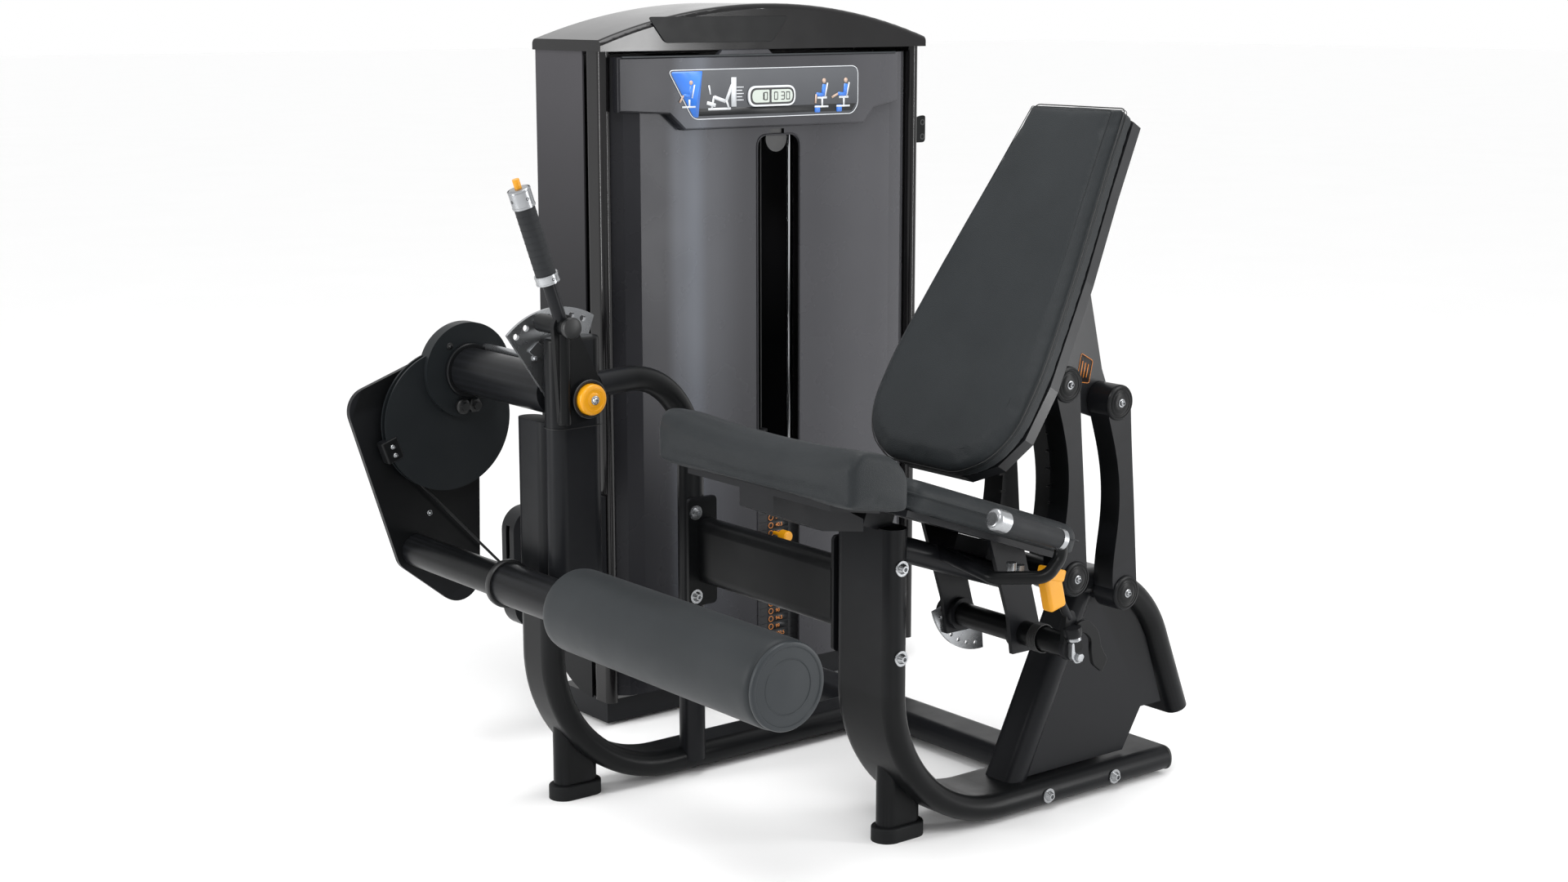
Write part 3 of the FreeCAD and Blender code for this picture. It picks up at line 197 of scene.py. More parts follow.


# painted reflection across the shroud, left to right: shaded rounded flank, bright highlight streak, darker
# middle, lighter right side
SHROUD_PAINTED_REFLECTION = ((0.0, lin("1b1b1e")), (1.0, lin("565659")), (0.15, lin("1f1f22")), (0.20, lin("3a3c41")),
                (0.25, lin("44474d")), (0.30, lin("36373b")), (0.42, lin("29292c")), (0.62, lin("37373a")),
                (0.86, lin("4b4b4e")))
MATS = {
    # its lighter edge colour is a painted highlight on convex edges
    "frame_black": material(
        "frame_black", lin("0a0b0c"), lin("0f1011"), (0.28, 0.38), 0.0, 0.0, 0.2, (700, 0.10), spec=0.13,
        painted_edge_highlight=lin("1d1e21")),
    "pad_vinyl": material(
        "pad_vinyl", lin("1f2224"), lin("25282a"), (0.42, 0.52), 0.0, 0.0, 0.1, (330, 0.35), mottle=9,
        sheen=0.03, kind="leather", spec=0.16),
    "roller_foam": material(
        "roller_foam", lin("222527"), lin("282b2d"), (0.42, 0.55), 0.0, 0.0, 0.1, (420, 0.18), mottle=7,
        sheen=0.03, spec=0.16),
    "grip_rubber": material(
        "grip_rubber", lin("1b1c1e"), lin("242628"), (0.5, 0.66), 0.0, 0.0, 0.1, (900, 0.3), spec=0.2),
    "foot_rubber": material(
        "foot_rubber", lin("101112"), lin("161718"), (0.5, 0.7), 0.0, 0.0, 0.1, (500, 0.35), spec=0.15),
    "touch_yellow": material(
        "touch_yellow", lin("c68409"), lin("d2930f"), (0.28, 0.4), 0.0, 0.15, 0.15, (500, 0.05),
        spec=0.3),
    "zinc_steel": material(
        "zinc_steel", lin("8d8f92"), lin("a8aaac"), (0.22, 0.32), 0.92, 0.0, 0.1, (420, 0.02),
        kind="brushed"),
    "chrome_rod": material(
        "chrome_rod", lin("b4b7ba"), lin("c8cacc"), (0.06, 0.14), 1.0, 0.0, 0.1, (300, 0.01),
        kind="brushed"),
    # the shroud's base colour carries a painted reflection: highlight streak and shaded flank across its
    # width
    "shroud_grey": material(
        "shroud_grey", lin("2c2d31"), lin("323337"), (0.24, 0.30), 0.25, 0.0, 0.2, (600, 0.03), mottle=3,
        spec=0.2, painted_reflection_bands=SHROUD_PAINTED_REFLECTION),
    "side_grey": material(
        "side_grey", lin("3c3b3e"), lin("424144"), (0.32, 0.42), 0.0, 0.0, 0.25, (700, 0.05), mottle=3,
        spec=0.14, gradient=(2, 1.5, 0.8, lin("0b0c0e"))),
    "crown_gloss": material(
        "crown_gloss", lin("0d0d0e"), lin("121112"), (0.12, 0.2), 0.0, 0.12, 0.06, (350, 0.02), mottle=5,
        spec=0.25),
    # its lighter edge colour is a painted highlight on convex edges
    "stack_steel": material(
        "stack_steel", lin("0c0c0d"), lin("141415"), (0.42, 0.6), 0.2, 0.0, 0.1, (300, 0.2), spec=0.2,
        painted_edge_highlight=lin("3a3b3d")),
    "cable_black": material(
        "cable_black", lin("0d0e0f"), lin("151617"), (0.28, 0.42), 0.0, 0.1, 0.2, (1500, 0.2), spec=0.25),
    "wheel_nylon": material(
        "wheel_nylon", lin("121315"), lin("1b1c1e"), (0.38, 0.5), 0.0, 0.0, 0.1, (500, 0.1), spec=0.2),
    "cam_grey": material(
        "cam_grey", lin("15181a"), lin("1a1d1f"), (0.36, 0.48), 0.0, 0.0, 0.3, (700, 0.12), mottle=6,
        spec=0.16),
    "shell_black": material(
        "shell_black", lin("1c1d1f"), lin("222325"), (0.26, 0.34), 0.0, 0.1, 0.15, (600, 0.06),
        spec=0.25),
    "cap_grey": material(
        "cap_grey", lin("24282b"), lin("2a2e31"), (0.34, 0.46), 0.0, 0.0, 0.3, (600, 0.08), mottle=8,
        spec=0.25),
}
EXTRA = {
    "trim_black": material(
        "trim_black", lin("0b0c0d"), lin("121314"), (0.35, 0.5), 0.0, 0.1, 0.3, (700, 0.12), spec=0.4),
    "print_blue": material(
        "print_blue", lin("2c6fd0"), lin("387bda"), (0.3, 0.42), 0.0, 0.3, 0.1, (400, 0.02)),
    "print_grey": material(
        "print_grey", lin("3c3e42"), lin("424448"), (0.3, 0.42), 0.0, 0.0, 0.1, (400, 0.02), spec=0.2,
        gradient=(2, 1.37, 1.45, lin("515357"))),
    "print_light": material(
        "print_light", lin("c8ccd0"), lin("dcdfe2"), (0.3, 0.42), 0.0, 0.3, 0.1, (400, 0.02)),
    "print_skin": material(
        "print_skin", lin("b59a88"), lin("c4aa98"), (0.3, 0.42), 0.0, 0.3, 0.1, (400, 0.02)),
    "lcd": material(
        "lcd", lin("b3bcb4"), lin("c0c8c0"), (0.12, 0.2), 0.0, 0.8, 0.05, (400, 0.01)),
    "ink": material(
        "ink", lin("131517"), lin("1c1e20"), (0.4, 0.5), 0.0, 0.0, 0.1, (400, 0.02)),
    "print_orange": material(
        "print_orange", lin("c06f1e"), lin("cf7f2c"), (0.35, 0.45), 0.0, 0.2, 0.1, (400, 0.02)),
}
for name, node in NODES.items():
    node.data.materials.clear()
    node.data.materials.append(MATS[SLOTS[name]])


# ------------------------------------------------------------------ mesh helpers
def finish_mesh(bm, name, mat, body, bevel=0.0, smooth=True):
    mesh = bpy.data.meshes.new(name)
    bmesh.ops.recalc_face_normals(bm, faces=bm.faces)
    bm.to_mesh(mesh)
    bm.free()
    ob = bpy.data.objects.new(name, mesh)
    bpy.context.scene.collection.objects.link(ob)
    mesh.materials.append(MATS[mat] if mat in MATS else EXTRA[mat])
    for p in mesh.polygons:
        p.use_smooth = smooth
    if bevel:
        bv = ob.modifiers.new("edge", "BEVEL")
        bv.width = bevel
        bv.segments = 3
        bv.limit_method = "ANGLE"
        bv.angle_limit = math.radians(35)
        bv.harden_normals = True
    if body:
        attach(ob, body)
    return ob


def basis(axis):
    axis = Vector(axis).normalized()
    u = axis.orthogonal().normalized()
    if abs(axis.y) > 0.9:
        u = Vector((1, 0, 0))
        u = (u - axis * u.dot(axis)).normalized()
    return u, axis.cross(u), axis


def lathe(name, centre, axis, profile, mat, body, seg=48):
    """Turned piece. The profile is (radius, height along the axis) in millimetres."""
    u, v, w = basis(axis)
    bm = bmesh.new()
    rings = []
    for r, h in profile:
        if r < 0.01:
            rings.append([bm.verts.new(centre + w * h / 1000)])
            continue
        rings.append([bm.verts.new(centre + (u * math.cos(2 * math.pi * i / seg) +
                                             v * math.sin(2 * math.pi * i / seg)) * r / 1000 + w * h / 1000)
                      for i in range(seg)])
    for a, b in zip(rings, rings[1:]):
        for i in range(seg):
            j = (i + 1) % seg
            if len(a) == 1 and len(b) == 1:
                continue
            if len(a) == 1:
                bm.faces.new((a[0], b[i], b[j]))
            elif len(b) == 1:
                bm.faces.new((a[i], b[0], a[j]))
            else:
                bm.faces.new((a[i], b[i], b[j], a[j]))
    ob = finish_mesh(bm, name, mat, body)
    es = ob.modifiers.new("split", "EDGE_SPLIT")
    es.split_angle = math.radians(38)
    return ob


def prism(name, outline, place, depth, mat, body, bevel=0.0008):
    """Flat piece: outline points (u, v) in mm, place(u, v, w) to the frame, extruded 0..depth mm."""
    bm = bmesh.new()
    low = [bm.verts.new(place(u, v, 0)) for u, v in outline]
    top = [bm.verts.new(place(u, v, depth)) for u, v in outline]
    bm.faces.new(low)
    bm.faces.new(top)
    n = len(outline)
    for i in range(n):
        bm.faces.new((low[i], low[(i + 1) % n], top[(i + 1) % n], top[i]))
    return finish_mesh(bm, name, mat, body, bevel=bevel, smooth=True)


def rounded(points, r, seg=6):
    """Polygon corners rounded to radius r (or a list of radii)."""
    out = []
    n = len(points)
    for i, p in enumerate(points):
        rr = r[i] if isinstance(r, (list, tuple)) else r
        p = Vector(p)
        a = (Vector(points[i - 1]) - p)
        b = (Vector(points[(i + 1) % n]) - p)
        d = min(rr, a.length * 0.48, b.length * 0.48)
        a.normalize()
        b.normalize()
        for k in range(seg + 1):
            t = k / seg
            q = (p + a * d) * (1 - t) ** 2 + p * 2 * t * (1 - t) + (p + b * d) * t ** 2
            out.append((q.x, q.y))
    return out


def tube(name, points, r, mat, body, closed=False, res=4):
    cu = bpy.data.curves.new(name, "CURVE")
    cu.dimensions = "3D"
    cu.bevel_depth = r / 1000
    cu.bevel_resolution = res
    cu.use_fill_caps = True
    sp = cu.splines.new("POLY")
    sp.points.add(len(points) - 1)
    for q, p in zip(sp.points, points):
        q.co = (*p, 1.0)
    sp.use_cyclic_u = closed
    tmp = bpy.data.objects.new(name, cu)
    bpy.context.scene.collection.objects.link(tmp)
    dg = bpy.context.evaluated_depsgraph_get()
    mesh = bpy.data.meshes.new_from_object(tmp.evaluated_get(dg))
    bpy.data.objects.remove(tmp)
    ob = bpy.data.objects.new(name, mesh)
    bpy.context.scene.collection.objects.link(ob)
    mesh.materials.clear()
    mesh.materials.append(MATS[mat] if mat in MATS else EXTRA[mat])
    for p in mesh.polygons:
        p.use_smooth = True
    if body:
        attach(ob, body)
    return ob


def socket_screw(name, centre, axis, body, r=9.0, washer=13.0, mat="zinc_steel"):
    """Button-head socket screw standing on its washer."""
    lathe(name, centre, axis, [(0, 0), (washer, 0), (washer, 1.6), (washer - 0.8, 2.2), (r + 0.4, 2.2),
                               (r, 3.0), (r * 0.93, 5.2), (r * 0.7, 7.0), (r * 0.46, 7.4), (r * 0.46, 4.0),
                               (0, 3.6)], mat, body, 32)


# ------------------------------------------------------------------ padded pieces
def settle(ob, limit, pressure=4.0):
    """Voxel remesh, inflate as cloth, cap the travel, apply, and subdivide once."""
    dg = bpy.context.evaluated_depsgraph_get()
    mesh = bpy.data.meshes.new_from_object(ob.evaluated_get(dg))
    old = ob.data
    ob.modifiers.clear()
    ob.data = mesh
    bpy.data.meshes.remove(old)
    rm = ob.modifiers.new("remesh", "REMESH")
    rm.mode = "VOXEL"
    rm.voxel_size = CLOTH_VOXEL
    dg = bpy.context.evaluated_depsgraph_get()
    mesh = bpy.data.meshes.new_from_object(ob.evaluated_get(dg))
    ob.modifiers.clear()
    ob.data = mesh
    start = [v.co.copy() for v in mesh.vertices]
    cl = ob.modifiers.new("cloth", "CLOTH")
    cl.settings.quality = 5
    cl.settings.mass = 0.3
    cl.settings.tension_stiffness = 18
    cl.settings.compression_stiffness = 18
    cl.settings.shear_stiffness = 8
    cl.settings.bending_stiffness = 4
    cl.settings.use_pressure = True
    cl.settings.uniform_pressure_force = pressure
    cl.settings.effector_weights.gravity = 0
    cl.collision_settings.use_collision = False
    sc = bpy.context.scene
    for f in range(1, CLOTH_FRAMES + 1):
        sc.frame_set(f)
    dg = bpy.context.evaluated_depsgraph_get()
    mesh = bpy.data.meshes.new_from_object(ob.evaluated_get(dg))
    for v, s in zip(mesh.vertices, start):
        d = v.co - s
        if d.length > limit:
            d *= limit / d.length
        v.co = s + d
    ob.modifiers.clear()
    ob.data = mesh
    sc.frame_set(1)
    sm = ob.modifiers.new("smooth", "SMOOTH")
    sm.factor = 0.5
    sm.iterations = 6
    ss = ob.modifiers.new("sub", "SUBSURF")
    ss.levels = 1
    ss.render_levels = 1
    dg = bpy.context.evaluated_depsgraph_get()
    mesh = bpy.data.meshes.new_from_object(ob.evaluated_get(dg))
    ob.modifiers.clear()
    ob.data = mesh
    for p in mesh.polygons:
        p.use_smooth = True


def inset_outline(points, radii, seg, inset, widen=None):
    """The outline moved inwards by an inset, corners rounded to match, with the same count of points.

    widen(v) scales the insets over 12 mm.
    """
    n = len(points)
    area2 = sum(points[i - 1][0] * points[i][1] - points[i][0] * points[i - 1][1] for i in range(n))
    turn = 1.0 if area2 > 0 else -1.0
    moved = []
    for i, p in enumerate(points):
        q = Vector(p)
        a = (q - Vector(points[i - 1])).normalized()
        b = (Vector(points[(i + 1) % n]) - q).normalized()
        na = Vector((-a.y, a.x)) * turn
        nb = Vector((-b.y, b.x)) * turn
        mid = (na + nb).normalized()
        step = inset * (widen(p[1]) if widen and inset > 12 else 1.0)
        q = q + mid * step / max(0.4, mid.dot(na))
        moved.append((q.x, q.y))
    return rounded(moved, [max(r - inset, 2.5) for r in radii], seg)


def cushion(name, points, radii, seg, place, profile, crown, mat, body, limit, widen=None):
    """Upholstered slab: the outline's rings at the profile's (inset, height), then a crowned middle."""
    bm = bmesh.new()
    rings = []
    for inset, w in profile:
        ring = inset_outline(points, radii, seg, inset, widen)
        rings.append([bm.verts.new(place(u, v, w)) for u, v in ring])
    n = len(ring)
    c = Vector((sum(p[0] for p in ring), sum(p[1] for p in ring))) / n
    top = profile[-1][1]
    for k in range(1, 8):
        t = 1 - k / 8
        rings.append([bm.verts.new(place(c.x + (u - c.x) * t, c.y + (v - c.y) * t, top + crown * (1 - t * t)))
                      for u, v in ring])
    for a, b in zip(rings, rings[1:]):
        for i in range(n):
            j = (i + 1) % n
            bm.faces.new((a[i], a[j], b[j], b[i]))
    bm.faces.new(list(reversed(rings[0])))
    bm.faces.new(rings[-1])
    ob = finish_mesh(bm, name, mat, body)
    settle(ob, limit)
    return ob


def back_place(u, v, w):
    """Backrest pad: u across (+Y), v up the pad, w out of its front face, all from the pad's back plane."""
    a = math.radians(BACK_LEAN_DEG)
    depth = BACK_THICK - w
    x, z = BACK_FOOT
    return P(x + v * math.sin(a) + depth * math.cos(a), SEAT_Y + u, z + v * math.cos(a) - depth * math.sin(a))


def seat_place(u, v, w):
    """Seat pad: u across (+Y), v back along the slope, w square to it from the pad's underside."""
    a = math.radians(SEAT_SLOPE_DEG)
    d = w - SEAT_THICK
    x, z = SEAT_FRONT
    return P(x + v * math.cos(a) - d * math.sin(a), SEAT_Y + u, z + v * math.sin(a) + d * math.cos(a))


def seam(name, shape, place, inset, w, body, r, mat="pad_vinyl", widen=None):
    """Sewn line following a cushion's outline, set in and at a height."""
    points, radii, seg = shape
    line = inset_outline(points, radii, seg, inset, widen)
    tube(name, [place(u, v, w) for u, v in line], r, mat, body, closed=True)


def make_pads():
    half = [(2, 96), (38, 166), (104, 203), (215, 208), (435, 181), (620, 148), (785, 121)]
    pts = [(w, s) for s, w in half] + [(-w, s) for s, w in reversed(half)]
    radii = [24, 60, 60, 90, 90, 60, 11]
    back_shape = (pts, radii + radii[::-1], 5)

    def wide(v):
        return 1.5 - 0.85 * v / BACK_LONG
    back = cushion("backrest_cushion", *back_shape, back_place,
                   [(7, 0), (1, 1.5), (0, 6), (0, 20), (0, 34), (1.5, 38), (7, 43.5), (15, 50), (22, 54),
                    (30, 55)], 2.0, "pad_vinyl", "backrest", 0.003, wide)
    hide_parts("backrest_pad")
    seat_shape = ([(-197, 2), (197, 2), (197, 469), (-197, 469)], [30, 30, 40, 40], 8)
    seat = cushion("seat_cushion", *seat_shape, seat_place,
                   [(7, 0), (1, 2), (0, 6), (0, 18), (0, 30), (2, 37), (7, 44), (14, 49), (24, 52)],
                   2.0, "pad_vinyl", "frame", 0.005)
    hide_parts("seat_pad")

    # bolster: shouldered section swept across the seat, with a shallow saddle in the middle
    bm = bmesh.new()
    section = rounded([(-4, 753), (-4, 829), (18, 853), (98, 833), (132, 799), (132, 729)],
                      [8, 20, 24, 30, 26, 10], 7)
    rings = []
    width, shoulder = BOLSTER_LONG, BOLSTER_SHOULDER
    ends = [0, 1.5, 5, 10, shoulder]
    stations = ends + [shoulder + (width - 2 * shoulder) * k / 26 for k in range(1, 26)]
    stations += [width - e for e in reversed(ends)]
    for s in stations:
        near = min(s, width - s)
        inset = 15 * (1 - math.sqrt(max(0.0, 1 - (1 - min(near, shoulder) / shoulder) ** 2)))
        t = s / width * 2 - 1
        dip = 13 * (1 - t * t) ** 1.2
        ring = []
        for x, z in section:
            d = Vector((x - 64, z - 788))
            q = Vector((x, z)) - d.normalized() * inset
            ring.append(bm.verts.new(P(q.x, BOLSTER_START + s, q.y - dip * max(0.0, (q.y - 745) / 108))))
        rings.append(ring)
    n = len(section)
    for a, b in zip(rings, rings[1:]):
        for i in range(n):
            bm.faces.new((a[i], a[(i + 1) % n], b[(i + 1) % n], b[i]))
    bm.faces.new(rings[0])
    bm.faces.new(list(reversed(rings[-1])))
    bolster = finish_mesh(bm, "bolster_cushion", "pad_vinyl", "frame")
    settle(bolster, 0.003, pressure=3.0)
    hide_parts("bolster_pad")

    seam("backrest_welt", back_shape, back_place, -0.4, 35, "backrest", 1.2, "trim_black")
    seam("backrest_band_seam", back_shape, back_place, -0.6, 27, "backrest", 0.7, "trim_black")
    seam("backrest_crease", back_shape, back_place, 23, 54.9, "backrest", 0.9, "pad_vinyl", wide)
    seam("seat_welt", seat_shape, seat_place, -1.6, 31, "frame", 1.3)

    # ankle roller: foam tube with soft shoulders and a turned end cap
    c = P(ROLLER_X, -895, ROLLER_Z)
    foam = lathe("roller_cushion", c, (0, 1, 0), [(24, 0), (66, 0.3), (72, 1.2), (76.5, 4), (79.6, 9),
                                                  (80.8, 16), (81, 30), (81, 160), (81, 320), (81, 480),
                                                  (81, 610), (80.6, 624), (79, 632), (75.5, 638),
                                                  (70, 641.5), (62, 643), (24, 643)], "roller_foam",
                 "roller", 96)
    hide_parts("roller_pad")
    cap = lathe("roller_end_cap", c, (0, -1, 0), [(22, -8), (77, -2), (78.5, 1), (78.5, 5), (77, 7.4),
                                                  (73.5, 8.6), (70, 8.4), (68.5, 6.8), (50, 7.6),
                                                  (49.2, 8.4), (48, 8.4), (47.4, 7.4), (46.6, 7.4),
                                                  (20, 9.4), (0, 9.8)], "cap_grey", "roller", 96)
    lathe("roller_inner_cap", P(ROLLER_X, -252, ROLLER_Z), (0, 1, 0),
          [(15, 0), (66, 0), (68, 1.5), (68, 4.5), (64, 6), (43, 6), (15, 6)], "trim_black", "roller", 64)
    lathe("roller_core", P(ROLLER_X, -897, ROLLER_Z), (0, 1, 0), [(14.2, 2), (20, 2), (20, 644), (14.2, 644)],
                 "trim_black", "roller", 32)
    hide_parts("roller_caps")


# ------------------------------------------------------------------ knee drive details
def ring_pts(cx, cz, y, r, a0, a1, n):
    out = []
    for i in range(n + 1):
        t = math.radians(a0 + (a1 - a0) * i / n)
        out.append(P(cx + r * math.cos(t), y, cz + r * math.sin(t)))
    return out


def make_knee():
    kx, kz = KNEE
    # black ring round the roller's axle beside the frame
    lathe("axle_black_ring", P(ROLLER_X, -16, ROLLER_Z), (0, 1, 0),
          [(42.2, 0), (46, 0), (48.5, 2), (49, 6), (48.5, 12), (46, 15), (35, 15), (34.2, 14)],
          "trim_black", "arm", 48)
    lathe("pivot_ring", P(kx, -147.6, kz), (0, -1, 0), [(31.2, -2), (37.6, -1), (38.2, 0.4), (37, 1.6),
                                                        (33, 2.0), (31.2, 1)], "trim_black", "arm", 64)
    lathe("pivot_face", P(kx, -163.6, kz), (0, -1, 0), [(24.4, -0.6), (24, 0.6), (21, 1.0), (20, 0.2),
                                                        (15, 0.2), (14, 1.6), (11, 2.4), (0, 2.4)],
          "touch_yellow", "arm", 64)
    socket_screw("pivot_screw", P(kx, -165.4, kz), (0, -1, 0), "arm", 6.5, 9)
    a = math.radians(109)
    along = Vector((math.cos(a), 0, math.sin(a)))
    knob = P(kx + 152 * math.cos(a), -163, kz + 152 * math.sin(a))
    lathe("plunger_knob", knob, (0, -1, 0), [(18.2, -6), (20.5, -5), (21, -3), (21, 3), (19.5, 5.5),
                                             (15, 7), (0, 7.8)], "trim_black", "arm", 40)
    base = P(kx, -132, kz)
    for i, r in enumerate((246, 259, 401, 433)):
        c = base + along * r / 1000
        rad = 23.2 if i < 2 else 22.2
        lathe(f"lever_ring_{i}", c, along, [(rad - 0.6, -1.6), (rad + 0.5, -1.0), (rad + 0.5, 1.0),
                                            (rad - 0.6, 1.6)], "zinc_steel", "arm", 48)
    socket = base + along * 0.253 + Vector((0, -0.0225, 0))
    upper = base + along * 0.416
    for k, (c, side) in enumerate(((socket, (0, -1, 0)), (upper + Vector((0, -0.0215, 0)), (0, -1, 0)),
                                   (upper + Vector((-0.0205, 0, -0.0071)), (-0.9455, 0, -0.3256)))):
        lathe(f"lever_set_screw_{k}", c, side, [(3.2, -1), (3.2, 0.6), (1.9, 0.7), (1.9, -0.5), (0, -0.5)],
              "trim_black", "arm", 16)
    for i in range(9):
        c = base + along * (0.277 + i * 0.0133)
        lathe(f"grip_rib_{i}", c, along, [(19.4, -1.2), (20.5, -0.6), (20.5, 0.6), (19.4, 1.2)],
              "grip_rubber", "arm", 32)
    # cable lead: round the groove from the clamp and on to the fixed run
    cx, cz, gr = kx - 44, kz - 103, 137.0
    pts = ring_pts(cx, cz, CABLE_Y, gr, 203, 223.8, 10)
    t0 = P(-188.9, CABLE_Y, 653.2)
    fwd = Vector((0.69178, 0, -0.72211))
    pts += [t0 + fwd * d for d in (0.012, 0.03, 0.045, 0.0622)]
    lead = tube("cable_lead", pts, 3.1, "cable_black", None)
    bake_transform(lead)
    tube("cam_wrap", ring_pts(cx, cz, CABLE_Y, gr - 1.2, 201, 286, 30), 3.0, "cable_black", "cam")
    for i, (dx, dz) in enumerate(((-3, 9), (3, -9))):
        socket_screw(f"clamp_screw_{i}", P(cx - 133 + dx, 313.6, cz - 49 + dz), (0, -1, 0), "cam", 3.4, 4.6)
    socket_screw("cam_screw", P(-90, 306, 905), (0, -1, 0), "cam", 4.5, 7, "trim_black")
    lathe("hub_collar", P(kx, 300, kz), (0, -1, 0), [(48, -6), (56, -5), (57, -3), (57, 2), (55, 4.5),
                                                     (48, 5)], "frame_black", "cam", 64)
    for i, x in enumerate((-66, -38)):
        c = P(x, 300, 777)
        lathe(f"cam_nut_{i}", c, (0, -1, 0), [(0, -6), (15, -6), (16, -4), (16, 4), (14, 6), (9, 7),
                                              (9, 16), (0, 17)], "trim_black", "cam", 6 if i else 40)
    socket_screw("arm_plate_screw", P(-123, 352, 549), (0, -1, 0), "arm", 4.5, 6)
    for i, (ang, r) in enumerate(((64, 92), (128, 92))):
        t = math.radians(ang)
        socket_screw(f"sector_screw_{i}", P(kx + r * math.cos(t), -40, kz + r * math.sin(t)), (0, -1, 0),
                     "cam", 5, 7)
    # bent tab on the sector's near face
    tab = rounded([(-118, 938), (-96, 956), (-74, 934), (-80, 922), (-104, 926)], 3, 3)
    prism("sector_tab", tab, lambda u, v, w: P(u, -40 - w, v), 5, "zinc_steel", "cam", 0.0012)
    # seam line between the pivot housing and its post
    band = rounded([(-104.6, -112.6), (13.6, -112.6), (13.6, -56.4), (-104.6, -56.4)], 27, 8)
    pts = [P(x, y, 790) for x, y in band]
    tube("housing_seam", pts, 0.9, "trim_black", "frame", closed=True)


# ------------------------------------------------------------------ linkage and frame details
def make_links():
    for tag, body, low, high in (("front", "front_arms", (716, 486), (683, 878)),
                                 ("rear", "rear_arms", (860, 435), (827, 827))):
        for s, side in ((-1, "near"), (1, "far")):
            y = SEAT_Y + s * 119
            for k, (x, z) in enumerate((low, high)):
                lathe(f"{tag}_{side}_cap_{k}", P(x, y, z), (0, s, 0),
                      [(30, -1), (35.4, 0), (35.6, 2.4), (34, 4.6), (30.5, 5.6), (29.4, 4.6), (28.4, 4.6),
                       (27, 5.8), (24, 6.6), (22.6, 5.8), (21.6, 5.8), (20, 6.9), (12, 7.3), (0, 7.4)],
                      "frame_black", body, 64)
                socket_screw(f"{tag}_{side}_screw_{k}", P(x, y + s * 6.8, z), (0, s, 0), body, 6.0, 8.6)
                lathe(f"{tag}_{side}_ring_{k}", P(x, SEAT_Y + s * 66.9, z), (0, -s, 0),
                      [(27.5, 0), (34, 0), (34.5, 0.6), (34, 1.2), (27.5, 1.2)], "trim_black", body, 48)
    # ribs cast into the hollow inner side of the front arms
    for s, side in ((-1, "near"), (1, "far")):
        for k in range(7):
            t = 0.2 + 0.09 * k
            x = 716 - 33 * t - 12 + 22 * abs(t - 0.5)
            z = 486 + 392 * t
            rib = rounded([(x - 7, z - 2.2), (x + 7, z - 2.2), (x + 7, z + 2.2), (x - 7, z + 2.2)], 2, 3)
            prism(f"arm_rib_{side}_{k}", rib, lambda u, v, w, y=SEAT_Y + s * 66.4: P(u, y + w * s, v), 6,
                  "frame_black", "front_arms", 0.0005)


def make_release():
    out = rounded([(600, 441), (628, 446), (660, 418), (668, 384), (686, 356), (672, 332), (646, 352),
                   (640, 380), (640, 404), (622, 420), (602, 424)], [8, 12, 16, 6, 4, 4, 8, 8, 10, 12, 6],
                  5)
    prism("release_bracket", out, lambda u, v, w: P(u, -827 - w, v), 9, "frame_black", "release", 0.0014)
    lathe("release_hub", P(SHAFT_X, -815, SHAFT_Z), (0, -1, 0),
          [(0, -0.5), (27, -0.5), (27, 9), (25, 11.5), (18, 12), (0, 12)], "frame_black", "release", 48)
    lathe("release_pin", P(592, -832, 425), (0.18, 0, -1), [(0, -10), (17, -10), (18, -8), (18, 6), (16, 9),
                                                            (0, 9)], "frame_black", "release", 40)
    lathe("release_spring_cup", P(596, -832, 412), (0.18, 0, -1),
          [(0, -3), (13, -3), (14, -1), (14, 3), (12, 5), (0, 5)], "zinc_steel", "release", 32)
    clip = rounded([(586, 404), (592, 404), (594, 386), (604, 377), (616, 379), (620, 372), (609, 362),
                    (596, 363), (586, 375)], 3, 4)
    prism("release_clip", clip, lambda u, v, w: P(u, -826 - w, v), 12, "zinc_steel", "release", 0.001)
    lathe("release_nut", P(604, -832, 374), (0, -1, 0), [(0, 0), (9, 0), (10, 1), (10, 9), (8, 12),
                                                         (0, 12.5)], "zinc_steel", "release", 6)
    step = rounded([(511, 542), (556, 530), (563, 552), (518, 565)], 5, 4)
    prism("paddle_lip", step, lambda u, v, w: P(u, -842 + w, v), 32, "touch_yellow", "release", 0.003)
    # spring that returns the lever, on the shaft beside its hanger
    pts = []
    coil_r, coils, steps = 27.5, 6, 120
    for i in range(steps + 1):
        t = i / steps
        a = 2 * math.pi * coils * t
        pts.append(P(SHAFT_X + coil_r * math.cos(a), -726 - 24 * t, SHAFT_Z + coil_r * math.sin(a)))
    tube("return_spring", pts, 1.6, "trim_black", "release", res=3)


def make_frame_details():
    for i, x in enumerate((500, 522)):
        z = 646 - (x - 342) * 0.368 - 30
        lathe(f"seat_nut_{i}", P(x - 14, SEAT_Y - 176, z), (0, 0, -1),
              [(0, -8), (10, -8), (10, 6), (8, 8), (5, 8), (5, 20), (0, 20)], "zinc_steel", "frame",
              6 if i else 32)
    # end cap of the seat frame's base tube
    out = rounded([(-85, -26), (85, -26), (85, 26), (-85, 26)], 26, 8)
    prism("base_end_cap", out, lambda u, v, w: P(1048 + w, SEAT_Y + u, 34 + v), 8, "trim_black", "frame",
          0.003)


# ------------------------------------------------------------------ tower details
def front(y):
    return lambda u, v, w: P(u, y - w, v)


def disc(cx, cz, r, n=20):
    return [(cx + r * math.cos(2 * math.pi * i / n),
             cz + r * math.sin(2 * math.pi * i / n)) for i in range(n)]


def limb(x0, z0, x1, z1, w):
    d = Vector((x1 - x0, z1 - z0))
    n = Vector((-d.y, d.x)).normalized() * w / 2
    return [(x0 + n.x, z0 + n.y), (x1 + n.x, z1 + n.y), (x1 - n.x, z1 - n.y), (x0 - n.x, z0 - n.y)]


